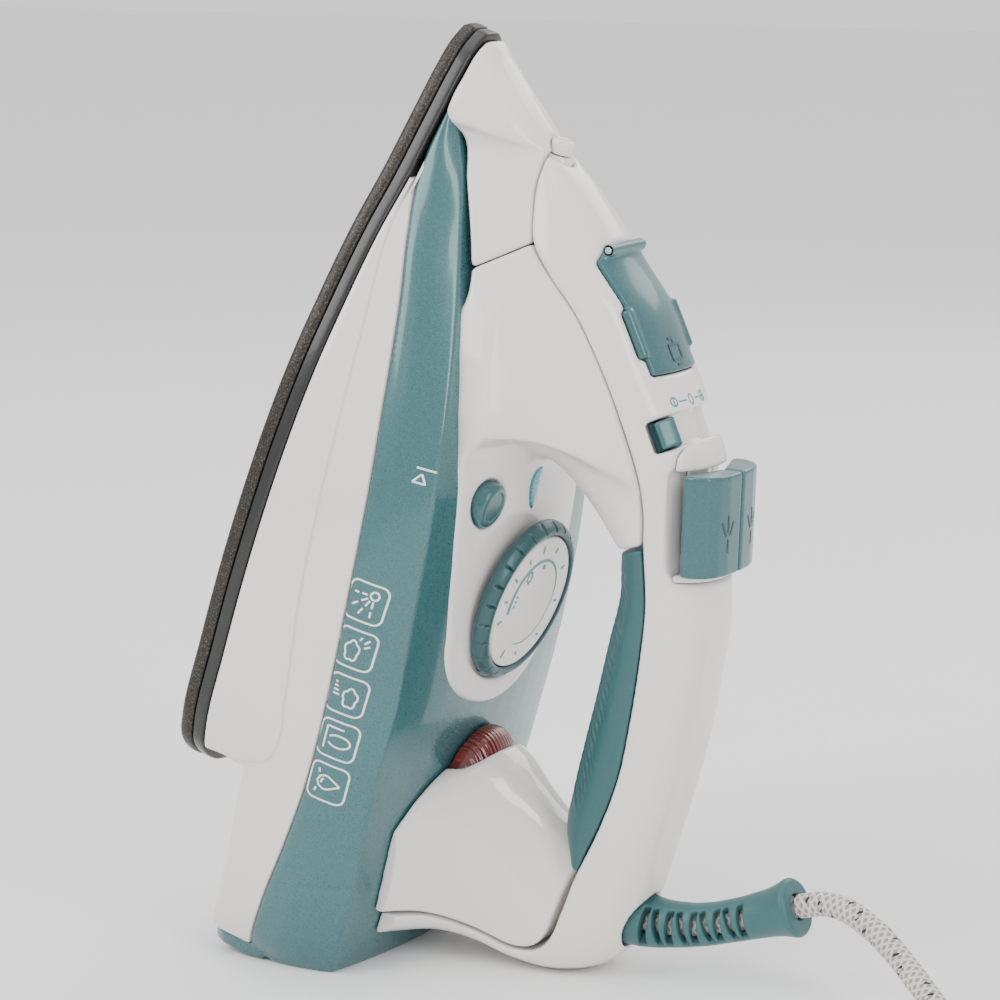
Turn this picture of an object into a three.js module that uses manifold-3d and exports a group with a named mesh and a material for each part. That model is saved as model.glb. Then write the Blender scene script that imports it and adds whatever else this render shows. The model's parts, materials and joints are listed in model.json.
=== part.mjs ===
// Steam iron standing on its heel, as an assembly of its real pieces. Millimetres, +Z up.
// Every piece of the iron is drawn lying flat: +x towards the nose, +y to the iron's left,
// +z from the soleplate to the handle, with the origin at the soleplate's rear edge.
// The whole iron is then tipped up on its heel, and the cord is laid out on the floor beside it.
import * as THREE from 'three';
import { mergeVertices } from 'three/addons/utils/BufferGeometryUtils.js';
import Module from 'manifold-3d';

const wasm = await Module();
wasm.setup();

// ---- driving dimensions ----------------------------------------------------------------
const LEAN = 18; // degrees between the upright soleplate and the vertical
const HEEL_LINE = 73.9; // from the frame's origin down to the floor when the iron stands
const GAP = 0.3; // clearance between touching pieces
const WALL = 2.4; // plastic wall thickness
const PLATE_TOP = 4.6; // top of the soleplate's rim
const BAND_TOP = 9; // top of the black band
const BOSS_TOP = 17; // top of the soleplate casting
const HANDLE_W = 17; // half width of the handle
const DIAL_X = 68; // dial axis along the iron
const DIAL_R = 26.7; // knurled ring, at its foot
const DISC_R = 22.5; // dial disc
const DIAL_FOOT = 71; // underside of the dial ring
const DIAL_TOP = 76; // height of the dial disc's face
const SPINDLE_R = 3;
const CORD_D = 7.5; // textile cord
const COIL_MEAN = 42; // mean radius of the stored coil
const COIL_COLUMNS = 3; // turns side by side
const COIL_X = 240; // coil centre on the floor
const BUTTON_TRAVEL = 4.5;
const PUMP_Y = 8.5; // the two pumps stand side by side, this far off the middle
const PUMP_FOOT = -26.5; // below the handle's top surface
const VALVE_X = 134;

// Half width of the soleplate along its length: [x, half width]
const SOLE = [
  [-9.5, 40], [-8.4, 47], [-5, 53.8], [1, 59.4], [8, 61.6], [34, 62.9], [61, 63], [84, 61.6],
  [106, 58.9], [127, 54.5], [149, 47.2], [170, 38.7], [187, 29.5], [207, 20.3], [219, 14.6],
  [227, 9.6], [231, 5],
];
// Seam between the skirt and the tank: [x, half width, z]
const TANK_FOOT = [
  [-62, 47, 38], [-55, 51.5, 39.5], [-40, 55, 41.5], [-20, 57, 44.5], [6, 57.5, 46.5],
  [27, 58.7, 46.6], [47, 59, 45.5], [67, 58.8, 43.7], [86, 57.6, 41.4], [104, 55.4, 38.4],
  [121, 52, 34.4], [138, 47.1, 29.6], [155, 41.3, 24], [171, 35.2, 17.5], [186, 26.9, 11],
  [194, 23.5, 9.6], [210, 17, 9.6],
];
// Crease between the tank's side and its top: [x, half width, z]
const CREASE = [
  [-62, 44, 66], [-55, 47, 68.5], [-40, 49.5, 69.5], [-10, 50.5, 68], [13, 52, 66.8],
  [38, 51.5, 66.3], [59, 52, 64.5], [84, 51.3, 61.5], [107, 49.2, 57.4], [128, 45, 52],
  [160, 33.5, 39], [176, 27, 31], [191, 20.5, 22.4], [202, 16.2, 15], [210, 15, 11],
];
// Seam between the tank and the white covers: [x, half width, z]
const COVER_FOOT = [
  [56, 33, 67.5], [72, 37, 64.8], [91, 39, 62.4], [110, 39.5, 60], [129, 39, 56.2],
  [145, 36, 50], [161, 31, 41.6], [176.5, 26, 33], [191, 19.6, 23], [202, 15, 15.6],
  [206.5, 18, 10], [212, 17, 9.6], [219, 13.4, 9.6], [226, 9.3, 9.6], [229.5, 5, 9.6],
];
// Seam between the covers and the handle shell: [x, half width, z]
const SEAM = [
  [205.6, 7, 40.5], [198.4, 11, 42], [193.7, 13.5, 43.5], [187, 17, 47], [180.7, 20, 50.8],
  [173.5, 22, 61], [168, 22.6, 70.6], [152.6, 22.6, 86.5], [140, 21.6, 97], [127, 20, 106],
  [108, 17.6, 113],
];
// Outer silhouette of the nose, where the nose cover closes over the top: [x, z]
const NOSE_RIDGE = [[230.5, 9.6], [229.5, 11.5], [225, 16.5], [217, 27.5], [211, 36], [204, 45]];
// The handle shell, from the nozzle over the top and down the back:
// [seam x, seam z, outer x, outer z, half width]
const SHELL = [
  [204.6, 41.2, 203.4, 45.5, 7.5], [198, 42.4, 201, 51, 11.5], [189, 46, 196, 60, 16],
  [181, 51, 189.5, 70, 20], [174, 60.5, 182.5, 79, 22], [167, 71.5, 174.5, 90, 22.6],
  [153, 86.3, 162.5, 101, 22.6], [140, 97, 150, 111.5, 21.6], [127, 106, 136, 123, 20],
  [117, 110.5, 118, 130, 18.6], [107, 113.2, 102, 135.5, 17.5], [91, 119, 90, 139.5, HANDLE_W],
  [73, 123, 72, 142.5, HANDLE_W], [54, 126, 54, 144.7, HANDLE_W],
  [34, 128, 34, 145.8, HANDLE_W], [16, 127, 17, 146, HANDLE_W],
  [-2, 124.6, -3, 146, 17.5], [-14, 124, -19, 144.5, 18], [-24, 123, -30, 138, 18.2],
  [-30, 119.5, -36.9, 126, 18.4], [-33, 112, -39, 112.5, 19], [-32.5, 98, -39.5, 98, 21],
  [-32.5, 83, -41.5, 84.5, 26], [-34.5, 75, -44.5, 77, 31],
];
// The grip, from its front end to its tail: [seam x, seam z, inner x, inner z]
const GRIP = [
  [106, 113.2, 99.4, 103.2], [100, 115.6, 94, 104.4], [91, 119, 88, 106], [73, 123, 71, 107],
  [54, 126, 54, 108.2], [34, 128, 35, 109.3], [20, 127.3, 21, 110.6], [8, 125.8, 9.5, 113],
  [0.5, 124.9, 1.5, 119.5],
];
// The lower half of the handle's front column: [seam x, seam z, inner x, inner z]
const COLUMN = [
  [142, 95.5, 124, 60], [127, 105.5, 116, 76], [117, 110, 109, 89.5], [107, 112.6, 100, 102.6],
];
// The rear column, from the tank up to the handle: [z, rear x, front x, half width]
const REAR = [
  [71, -36.5, 13.5, 34.5], [75, -34.5, 16.5, 32], [80, -33.2, 20.5, 29], [88, -32.4, 19, 25],
  [98, -32, 13.5, 21.5], [108, -32.5, 8.5, 19.2], [116, -33, 6, 18.2], [124, -33, 4, 17.6],
];

// ---- small helpers ---------------------------------------------------------------------
const radians = THREE.MathUtils.degToRad;

// A table's column k at x, its rows running up in their first column
function at(table, x, k = 1) {
  const rows = table[0][0] < table[table.length - 1][0] ? table : [...table].reverse();
  const i = Math.max(1, rows.findIndex((row) => row[0] >= x));
  if (x > rows[rows.length - 1][0]) return rows[rows.length - 1][k];
  const [a, b] = [rows[i - 1], rows[i]];
  return a[k] + (b[k] - a[k]) * THREE.MathUtils.clamp((x - a[0]) / (b[0] - a[0]), 0, 1);
}

function toSolid(geometry) {
  const bare = geometry.clone();
  bare.deleteAttribute('normal');
  bare.deleteAttribute('uv');
  const merged = mergeVertices(bare, 1e-4);
  return new wasm.Manifold(new wasm.Mesh({
    numProp: 3,
    vertProperties: new Float32Array(merged.attributes.position.array),
    triVerts: new Uint32Array(merged.index.array),
  }));
}

// The solid without the slivers and specks that cuts leave behind
function tidy(solid) {
  const bodies = solid.simplify(0.03).decompose();
  return bodies.sort((a, b) => b.volume() - a.volume())[0];
}

function toGeometry(solid) {
  const mesh = tidy(solid).getMesh();
  const geometry = new THREE.BufferGeometry();
  geometry.setAttribute('position', new THREE.BufferAttribute(mesh.vertProperties, 3));
  geometry.setIndex(new THREE.BufferAttribute(mesh.triVerts, 1));
  geometry.computeVertexNormals();
  return geometry;
}

// A closed solid through rings of equal point count, its ends closed by fans
function loft(rings) {
  const count = rings[0].length;
  const middle = (ring) => ring.reduce((sum, p) => sum.add(p), new THREE.Vector3())
    .divideScalar(count);
  const points = [...rings.flat(), middle(rings[0]), middle(rings[rings.length - 1])];
  const faces = [];
  const last = (rings.length - 1) * count;
  for (let k = 0; k < count; k += 1) {
    const next = (k + 1) % count;
    for (let i = 0; i + 1 < rings.length; i += 1) {
      const [a, b] = [i * count, (i + 1) * count];
      faces.push(a + k, a + next, b + k, a + next, b + next, b + k);
    }
    faces.push(next, k, points.length - 2, last + k, last + next, points.length - 1);
  }
  let volume = 0;
  for (let f = 0; f < faces.length; f += 3) {
    const [a, b, c] = [points[faces[f]], points[faces[f + 1]], points[faces[f + 2]]];
    volume += a.dot(b.clone().cross(c));
  }
  if (volume < 0) faces.reverse();
  const geometry = new THREE.BufferGeometry();
  geometry.setAttribute('position', new THREE.Float32BufferAttribute(
    points.flatMap((p) => p.toArray()), 3));
  geometry.setIndex(faces);
  return toSolid(geometry);
}

// A shape drawn in the x-y plane, extruded upwards from z0 to z1
function slab(points, z0, z1) {
  const shape = new THREE.Shape(points.map(([x, y]) => new THREE.Vector2(x, y)));
  const geometry = new THREE.ExtrudeGeometry(shape, { depth: z1 - z0, bevelEnabled: false });
  return toSolid(geometry.translate(0, 0, z0));
}

// A shape drawn in the x-z plane, extruded across the iron from y0 to y1
function across(points, y0, y1) {
  const shape = new THREE.Shape(points.map(([x, z]) => new THREE.Vector2(x, z)));
  const geometry = new THREE.ExtrudeGeometry(shape, { depth: y1 - y0, bevelEnabled: false });
  return toSolid(geometry.rotateX(Math.PI / 2).translate(0, y1, 0));
}

// A straight round bar between two points, or a cone where the radii differ
function bar(from, to, r0, r1 = r0, sides = 16) {
  const [a, b] = [new THREE.Vector3(...from), new THREE.Vector3(...to)];
  const geometry = new THREE.CylinderGeometry(r1, r0, a.distanceTo(b), sides);
  const turn = new THREE.Quaternion().setFromUnitVectors(
    new THREE.Vector3(0, 1, 0), b.clone().sub(a).normalize());
  geometry.applyQuaternion(turn).translate(...a.add(b).multiplyScalar(0.5).toArray());
  return toSolid(geometry);
}

// A tube or rod of a regular section along a smooth curve through the points
function rod(points, radius, steps, sides = 8) {
  const section = new THREE.Shape();
  for (let k = 0; k < sides; k += 1) {
    const turn = (2 * Math.PI * k) / sides;
    const [u, v] = [radius * Math.cos(turn), radius * Math.sin(turn)];
    if (k === 0) section.moveTo(u, v);
    else section.lineTo(u, v);
  }
  const path = new THREE.CatmullRomCurve3(points.map((p) => new THREE.Vector3(...p)));
  return toSolid(new THREE.ExtrudeGeometry(section, { steps, extrudePath: path }));
}

function box(low, high) {
  const geometry = new THREE.BoxGeometry(...high.map((value, k) => value - low[k]));
  return toSolid(geometry.translate(...high.map((value, k) => (value + low[k]) / 2)));
}

// A piece of revolution about an upright axis at (x, y): profile of [radius, z]
function turned(profile, x, y, segments = 32) {
  const geometry = new THREE.LatheGeometry(profile.map((p) => new THREE.Vector2(...p)), segments);
  return toSolid(geometry.rotateX(Math.PI / 2).translate(x, y, 0));
}

// ---- section rings -----------------------------------------------------------------------
const SIDE_STEPS = 4;

// A rounded band section from its flat seam side (a) to its outer side (b), in x-z
function bandRing([ax, az, bx, bz], half, fullness, inset = 0, seamGap = GAP / 2) {
  const reach = Math.hypot(bx - ax, bz - az);
  const start = (inset > 0 ? -1.5 : seamGap) / reach;
  const end = 1 - inset / reach;
  const ring = [];
  for (let k = 0; k <= 2 * SIDE_STEPS; k += 1) {
    const turn = (Math.PI * k) / (2 * SIDE_STEPS);
    const wide = Math.sign(Math.cos(turn)) * Math.abs(Math.cos(turn)) ** (2 / fullness);
    const along = start + (end - start) * Math.sin(turn) ** (2 / fullness);
    ring.push(new THREE.Vector3(
      ax + (bx - ax) * along, (half - inset) * wide, az + (bz - az) * along));
  }
  return ring;
}

// A section across the iron at x, from its right half given bottom to top as [y, z]
function crossRing(x, halfPoints) {
  return [
    ...halfPoints.map(([y, z]) => new THREE.Vector3(x, y, z)),
    ...[...halfPoints].reverse().map(([y, z]) => new THREE.Vector3(x, -y, z)),
  ];
}

// The soleplate's outline moved inwards, as points in x-y
function soleOutline(inset) {
  const shrink = (x) => (x > 180 ? 1.2 : 1) * inset;
  const right = SOLE.map(([x, y]) => [
    x > 215 ? x - inset * 0.6 : Math.max(x, -9.5 + inset),
    y - shrink(x),
  ]).filter(([x, y], i, all) => y > 2 && (i === 0 || x > all[i - 1][0]));
  return [...right.map(([x, y]) => [x, -y]), ...[...right].reverse()];
}

// ---- sole group --------------------------------------------------------------------------
const BOSS_INSET = 17;

function soleplate() {
  const rim = loft([[1.2, 0], [0, 1.6], [0, 3.4], [0.8, PLATE_TOP]].map(([inset, z]) => (
    soleOutline(inset).map(([x, y]) => new THREE.Vector3(x, y, z)))));
  const boss = slab(soleOutline(BOSS_INSET), PLATE_TOP - 1, BOSS_TOP);
  const chamber = slab(soleOutline(BOSS_INSET + 4), PLATE_TOP + 1, BOSS_TOP + 1);
  let plate = rim.add(boss).subtract(chamber);
  const holes = [[30, 22], [30, -22], [60, 30], [60, -30], [90, 26], [90, -26], [120, 18],
    [120, -18], [150, 9], [150, -9]];
  for (const [x, y] of holes) {
    plate = plate.subtract(bar([x, y, -1], [x, y, PLATE_TOP + 2], 2.2, 2.2, 8));
  }
  return plate;
}

const chamberCover = () => slab(soleOutline(BOSS_INSET + 1), BOSS_TOP + GAP, BOSS_TOP + 2);

function heatingElement() {
  const [inset, z] = [BOSS_INSET - 4.5, PLATE_TOP + 3.8];
  const leg = [6, 20, 60, 100, 140, 175].map((x) => [x, at(SOLE, x) - inset, z]);
  const right = leg.map(([x, y]) => [x, -y, z]);
  return rod([...leg, [194, 10.5, z], [199, 0, z], [194, -10.5, z], ...right.reverse()], 2.9, 30, 6);
}

function soleBand() {
  const ring = slab(soleOutline(0.5), PLATE_TOP + GAP, BAND_TOP);
  return ring.subtract(slab(soleOutline(8), 0, BAND_TOP + 1));
}

// Height of the heat shield's upper edge along the iron
const SHIELD_TOP = [[0, 34.5], [30, 33], [60, 29], [92, 25.5], [120, 22], [145, 17.5], [165, 13],
  [184, 10]];

// Half width of the skirt's outer wall at x and z, leaning in from the band to the tank
function skirtHalf(x, z) {
  const foot = at(SOLE, Math.max(x, 0)) - 1.4 - Math.max(0, -x) * 0.1;
  const [topHalf, topZ] = [at(TANK_FOOT, x), at(TANK_FOOT, x, 2)];
  return foot + (topHalf - foot) * THREE.MathUtils.clamp((z - BAND_TOP) / (topZ - BAND_TOP), 0, 1);
}

function skirtWall(stations, bottom, top, proud) {
  const ring = (x, inset, extra) => {
    const [z0, z1] = [bottom(x) - extra, top(x) + extra];
    return crossRing(x, [0, 0.5, 1].map((t) => {
      const z = z0 + (z1 - z0) * t;
      return [skirtHalf(x, z) + proud - inset, z];
    }));
  };
  const outer = loft(stations.map((x) => ring(x, 0, 0)));
  const [first, last] = [stations[0], stations[stations.length - 1]];
  const inside = [first + WALL, ...stations.slice(1, -1), last + WALL];
  return outer.subtract(loft(inside.map((x) => ring(x, WALL, 2))));
}

function heatShield() {
  const stations = [0, 3, 8, 30, 60, 92, 120, 145, 163, 174, 183];
  return skirtWall(stations, () => BAND_TOP + GAP, (x) => at(SHIELD_TOP, x), 0.8)
    .intersect(slab(soleOutline(0.6), 0, 60));
}

function upperSkirt() {
  const low = [[-62, 29], [-45, 28], [-30, 27.5], [-14, 25], [-1, 24], [0, 34.8 + GAP]];
  const bottom = (x) => (x < 0 ? at(low, x) : at(SHIELD_TOP, x) + GAP);
  const stations = [-59.4, -56, -45, -30, -14, -1, 0, 30, 60, 92, 120, 145, 163, 174, 183];
  const foot = (x) => Math.max(at(TANK_FOOT, x, 2) - GAP / 2, bottom(x) + 1);
  return skirtWall(stations, bottom, foot, 0)
    .subtract(box([-70, -46.8, TANK_FLOOR - GAP], [-56, 46.8, 60]));
}

// ---- tank --------------------------------------------------------------------------------
// Height of the tank's crowned roof at x and y
function roof(x, y) {
  const [half, z] = [at(CREASE, x), at(CREASE, x, 2)];
  const crown = THREE.MathUtils.clamp((178 - x) / 60, 0, 1) * 5.5;
  return z + crown * (1 - (y / half) ** 2);
}

function tankRing(x, inset, recess) {
  const [foot, footZ] = [at(TANK_FOOT, x) - inset, at(TANK_FOOT, x, 2) + GAP / 2 + inset];
  const [crease, creaseZ] = [at(CREASE, x) - inset * 0.9, at(CREASE, x, 2) - inset * 0.8];
  const top = (y) => roof(x, y) - inset - recess;
  const floorZ = x < 192 ? Math.max(Math.min(footZ, TANK_FLOOR), BOSS_TOP + 2.6)
    : Math.min(12.6, creaseZ - 1.2);
  const bottomZ = floorZ + inset;
  const step = Math.min(3.3, foot * 0.2);
  return crossRing(x, [
    [foot * 0.5, bottomZ], [foot - 6, bottomZ], [foot - step, footZ], [foot, footZ],
    [crease, creaseZ],
    [crease * 0.75, top(crease * 0.75)], [crease * 0.4, top(crease * 0.4)],
  ]);
}

const TANK_FLOOR = 35.2; // underside of the tank over the heat shield
const TANK_STATIONS = [
  -62, -59, -55, -40, -10, 13, 38, 59, 84, 107, 128, 145, 160, 176, 191, 202, 209,
];

function tankOuter() {
  return loft(TANK_STATIONS.map((x) => tankRing(x, 0, 0)));
}

// The tank's end turns down behind the skirt and closes the heel
function heelLip() {
  const ring = (x, half) => crossRing(x, [[half - 2, 28.5], [half, 33], [half, 44]]);
  return loft([ring(-62, 46.5), ring(-59.7, 48.5)]);
}

// Everything the white covers stand over, taken out of the tank
function coverSeat(depth) {
  const rows = COVER_FOOT.filter(([x]) => x <= 215);
  const rings = rows.map(([x, y, z]) => crossRing(x, [[y + 0.5, z - depth], [y + 0.5, z + 60]]));
  const plate = [[72, 37 + GAP], ...panelTip(GAP), [72, -37 - GAP]];
  return [loft(rings), slab(plate, 64.6 - depth, 120)];
}

function waterTank() {
  const [seat, plate] = coverSeat(6.3);
  const inner = TANK_STATIONS.slice(1, -4).map((x) => tankRing(x, WALL, 9.5));
  let tank = tankOuter().add(heelLip()).subtract(seat).subtract(plate).subtract(loft(inner));
  tank = tank.subtract(coverFilled().translate([0, 0, -GAP]));
  const tube = bar([DIAL_X, 0, 28], [DIAL_X, 0, 69], 7.5).intersect(tankOuter());
  tank = tank.add(tube.subtract(plate).subtract(seat));
  tank = tank.subtract(bar([DIAL_X, 0, 0], [DIAL_X, 0, 90], 5));
  tank = tank.subtract(bar([151, 0, 40], [151, 0, 60], 6));
  tank = tank.subtract(bar([CLEAN[0], CLEAN[1], 55.5], [CLEAN[0], CLEAN[1], 70], 7.6));
  return tank.subtract(bar([VALVE_X, 0, 10], [VALVE_X, 0, 70], 2.2, 2.2, 12));
}

// ---- covers ------------------------------------------------------------------------------
function coverRing(x, inset) {
  const [foot, footZ] = [at(COVER_FOOT, x), at(COVER_FOOT, x, 2) + GAP / 2];
  if (x > 205) {
    const ridge = at(NOSE_RIDGE, x);
    const rise = ridge - footZ;
    return crossRing(x, [0, 0.3, 0.6, 0.85, 1].map((t) => [
      Math.max((foot - inset) * Math.sqrt(1 - t ** 1.6) + 0.6 - inset * 0.15, 0.3),
      footZ + (rise - inset) * t - (inset > 0 && t === 0 ? 2 : 0)]));
  }
  const [seam, seamZ] = [at(SEAM, x), at(SEAM, x, 2) - GAP / 2];
  const dip = THREE.MathUtils.clamp((185 - x) / 40, 0, 1) * 2.5;
  return crossRing(x, [0, 0.3, 0.6, 0.85, 1].map((t) => [
    foot + (seam - foot) * t - dip * Math.sin(Math.PI * t) - inset,
    footZ + (seamZ - footZ) * t + (inset > 0 ? (t - 0.5) * 4 : 0)]));
}

const NOSE_STATIONS = [229.3, 226, 219, 212, 206.5, 205];
const COVER_STATIONS = [202, 198, 191, 184, 176.5, 168, 161, 152, 145, 135, 127];

// The front cover's space, filled, with a gap round it
const coverFilled = () => loft(
  [...NOSE_STATIONS, ...COVER_STATIONS].map((x) => coverRing(x, -GAP)));

const coverOuter = () => loft(
  [...NOSE_STATIONS, ...COVER_STATIONS].map((x) => coverRing(x, 0)));

// The hollow inside the front cover
const coverInside = () => loft([...NOSE_STATIONS.slice(1), ...COVER_STATIONS.slice(0, -1), 129.5]
  .map((x) => coverRing(x, WALL)));

// Both sides of the slanted seam between the nose cover and the dial panel
function noseSide(gap) {
  return across([[168.6 + gap, 30], [182.2 + gap, 54], [182.2 + gap, 80], [240, 80], [240, 0],
    [168.6 + gap, 0]], -60, 60);
}

function noseCover() {
  const cover = coverOuter().subtract(coverInside()).intersect(noseSide(GAP / 2));
  return cover.subtract(shellFilled()).subtract(nozzleSpace(GAP));
}

// The dial panel's rounded rear end, seen from above
function panelTip(grow) {
  const tip = [];
  for (let k = 0; k <= 8; k += 1) {
    const turn = Math.PI / 2 + (Math.PI * k) / 8;
    tip.push([59 + (27 + grow) * Math.cos(turn), (34.5 + grow) * Math.sin(turn)]);
  }
  return tip;
}

function panelPlate() {
  const rows = [[129, 39], [110, 39.5], [91, 39], [72, 37]];
  const left = [...rows].reverse().map(([x, y]) => [x, -y]);
  const shape = slab([...rows, ...panelTip(0), ...left], 50, 90);
  const skin = (lift) => [129, 118, 110, 100, 91, 80, 72, 58, 44, 31].map((x) => crossRing(x, [
    [41, roof(x, 41) + lift - 6], [41, roof(x, 41) + lift], [28, roof(x, 28) + lift + 1.2],
    [14, roof(x, 14) + lift + 1.6], [0.5, roof(x, 0) + lift + 1.7]]));
  return shape.intersect(loft(skin(0))).subtract(loft(skin(-2.4)));
}

const columnRings = (inset) => COLUMN.map((row, i) => (
  bandRing(row, at(SEAM, row[0]), 2.6, inset, GAP / 2)));

function dialPanel() {
  const space = coverInside().add(loft(columnRings(WALL)));
  const filled = coverOuter().subtract(noseSide(-GAP / 2)).add(loft(columnRings(0)));
  let panel = filled.subtract(space).add(panelPlate());
  panel = panel.subtract(shellFilled()).subtract(
    bar([DIAL_X, 0, DIAL_FOOT - GAP], [DIAL_X, 0, 95], DIAL_R + 1, DIAL_R + 1, 32));
  panel = panel.subtract(bar([DIAL_X, 0, 50], [DIAL_X, 0, 90], 6));
  panel = panel.subtract(slab(pointerOutline(GAP), 60, 80));
  return panel.subtract(bar([CLEAN[0], CLEAN[1], 40], [CLEAN[0], CLEAN[1], 90], 7.6));
}

// ---- handle ------------------------------------------------------------------------------
const shellRow = (row) => row.slice(0, 4);
// The shell's space down to just below its seam
const shellFilled = () => loft(SHELL.map((row) => (
  bandRing(shellRow(row), row[4] + 2, 2.5, 0, -GAP / 2))));
const shellOuter = () => loft(SHELL.map((row) => bandRing(shellRow(row), row[4], 2.5)));

function shellHollow() {
  const rows = SHELL.slice(1, -1);
  return loft(rows.map((row) => bandRing(shellRow(row), row[4], 2.5, WALL)));
}

// The handle top's own frame: d runs back along the surface, n stands out of it
const TOP = { x: 119.5, z: 127.5, d: [-0.962, 0.272], n: [0.272, 0.962] };
const onTop = (d, n) => [
  TOP.x + d * TOP.d[0] + n * TOP.n[0], TOP.z + d * TOP.d[1] + n * TOP.n[1]];

const insertRegion = (gap) => across([
  onTop(-37 - gap, -2 - gap), onTop(-20, -8 - gap), onTop(18 + gap, -7.5 - gap),
  onTop(18 + gap, 20), onTop(-37 - gap, 20)], -16.5 - gap, 16.5 + gap);

// One push button's body: a block with a sloping outer flank, on the given side
function buttonBody(side, grow, sink) {
  const [d0, d1] = [-15.5 - grow, 15.5 + grow];
  const half = [[0.4 - grow, 0.4 - sink], [17 + grow, -4.5 - sink], [19 + grow, -3.5 - sink],
    [19 + grow, 0], [13.5 + grow, 7.2 + grow], [6, 8 + grow], [0.4 - grow, 8.2 + grow]];
  const ring = (d) => half.map(([y, n]) => {
    const [x, z] = onTop(d, n);
    return new THREE.Vector3(x, side * y, z);
  });
  return loft([ring(d0), ring(d1)]);
}

// A round bar along the buttons' pushing direction
function pushBar(side, n0, n1, radius, sides = 12) {
  const [a, b] = [onTop(0, n0), onTop(0, n1)];
  const y = side * PUMP_Y;
  return bar([a[0], y, a[1]], [b[0], y, b[1]], radius, radius, sides);
}

const pushButton = (side) => buttonBody(side, 0, 0).add(pushBar(side, -13, 1, 1.5));

const buttonPocket = () => buttonBody(1, GAP, BUTTON_TRAVEL + 0.6)
  .add(buttonBody(-1, GAP, BUTTON_TRAVEL + 0.6));

// The steam lever turns in a saddle across the handle, about an axis along the surface
const LEVER = { x: 131.4, z: 96.4, d: [-0.76, 0.65], n: [0.65, 0.76], radius: 19.5, half: 4.6 };

function leverSector(r0, r1, half, from, to) {
  const ring = (d) => {
    const points = [];
    for (const [radius, start, end] of [[r1, from, to], [r0, to, from]]) {
      for (let k = 0; k <= 8; k += 1) {
        const turn = radians(start + ((end - start) * k) / 8);
        const n = radius * Math.cos(turn);
        points.push(new THREE.Vector3(LEVER.x + d * LEVER.d[0] + n * LEVER.n[0],
          radius * Math.sin(turn), LEVER.z + d * LEVER.d[1] + n * LEVER.n[1]));
      }
    }
    return points;
  };
  return loft([ring(-half), ring(half)]);
}

const leverSlot = () => leverSector(
  LEVER.radius - 2.3, LEVER.radius + 12, LEVER.half + GAP, -56, 56);

function steamLever() {
  const foot = leverSector(LEVER.radius - 2, LEVER.radius, LEVER.half, 26, 53);
  return foot.add(leverSector(LEVER.radius - 1, LEVER.radius + 4.5, LEVER.half - 0.4, 34, 50));
}

// The filler cap covers the front of the handle, hinged at its lower end
const capRegion = (gap, half) => across([
  [188 + gap, 70 - gap], [180.5, 70.5 - gap], [154 - gap, 93], [158.5 - gap, 104 + gap],
  [165, 112], [196 + gap, 84]], -half - gap, half + gap);

const CAP_HALF = 14;
const KNUCKLE = { x: 185.6, z: 71.6, radius: 2.1 };
const knuckleBar = (half, radius) => bar([KNUCKLE.x, -half, KNUCKLE.z],
  [KNUCKLE.x, half, KNUCKLE.z], radius, radius, 16);

function fillerCap() {
  const skin = shellOuter().subtract(loft(SHELL.slice(1, -1).map((row) => (
    bandRing(shellRow(row), row[4], 2.5, 3.2)))));
  const behindHinge = across([[KNUCKLE.x + 8, KNUCKLE.z + 6.2], [KNUCKLE.x - 8, KNUCKLE.z - 6.2],
    [140, 80], [150, 125], [200, 110]], -20, 20);
  return skin.intersect(capRegion(0, CAP_HALF)).intersect(behindHinge)
    .add(knuckleBar(CAP_HALF, KNUCKLE.radius)).subtract(knuckleBar(CAP_HALF + 1, 1.4));
}

const GUARD_PATH = [[-13.5, 136], [-10, 150], [-4, 163], [3.5, 174], [10.5, 183], [16.6, 190.6]];
const GUARD_RADII = [8.8, 8.6, 7.4, 6.8, 6.6, 6.8, 7.4, 8.2];

function handleShell() {
  let shell = shellOuter().subtract(shellHollow());
  shell = shell.subtract(insertRegion(GAP)).subtract(buttonPocket()).subtract(leverSlot());
  shell = shell.subtract(capRegion(GAP, CAP_HALF))
    .subtract(knuckleBar(CAP_HALF + GAP, KNUCKLE.radius + GAP));
  shell = shell.subtract(bar([-14.7, 0, 131], [-9, 0, 154], 9.6, 9.6, 20));
  shell = shell.subtract(bar([-46, 0, 97.5], [-37.5, 0, 97.5], 4)).subtract(
    bar([-46, 0, 97.5], [-30, 0, 97.5], 2));
  return shell.subtract(nozzleSpace(GAP));
}

function controlPanel() {
  const solid = shellOuter().intersect(insertRegion(0));
  let panel = solid.subtract(buttonPocket()).subtract(leverSlot());
  return panel.subtract(pushBar(1, -12, 0, 2.2)).subtract(pushBar(-1, -12, 0, 2.2));
}

function grip() {
  const rings = (inset) => GRIP.map((row) => bandRing(row, at(HANDLE_HALF, row[0]), 2.3, inset));
  const hollow = rings(WALL).slice(1, -1);
  return loft(rings(0)).subtract(loft(hollow));
}
const HANDLE_HALF = [[0, 17.4], [16, 17], [91, 17], [108, 17.4]];

function rearRing([z, rear, front, half], inset) {
  const ring = [];
  const steps = 2 * SIDE_STEPS;
  for (let k = 0; k <= steps; k += 1) {
    const turn = (Math.PI * k) / steps;
    const wide = Math.sign(Math.cos(turn)) * Math.abs(Math.cos(turn)) ** (2 / 2.3);
    const along = Math.sin(turn) ** (2 / 2.3);
    const from = rear + GAP / 2 - (inset ? 3 : 0);
    ring.push(new THREE.Vector3(
      from + (front - inset - from) * along, (half - inset) * wide, z));
  }
  return ring;
}

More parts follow.
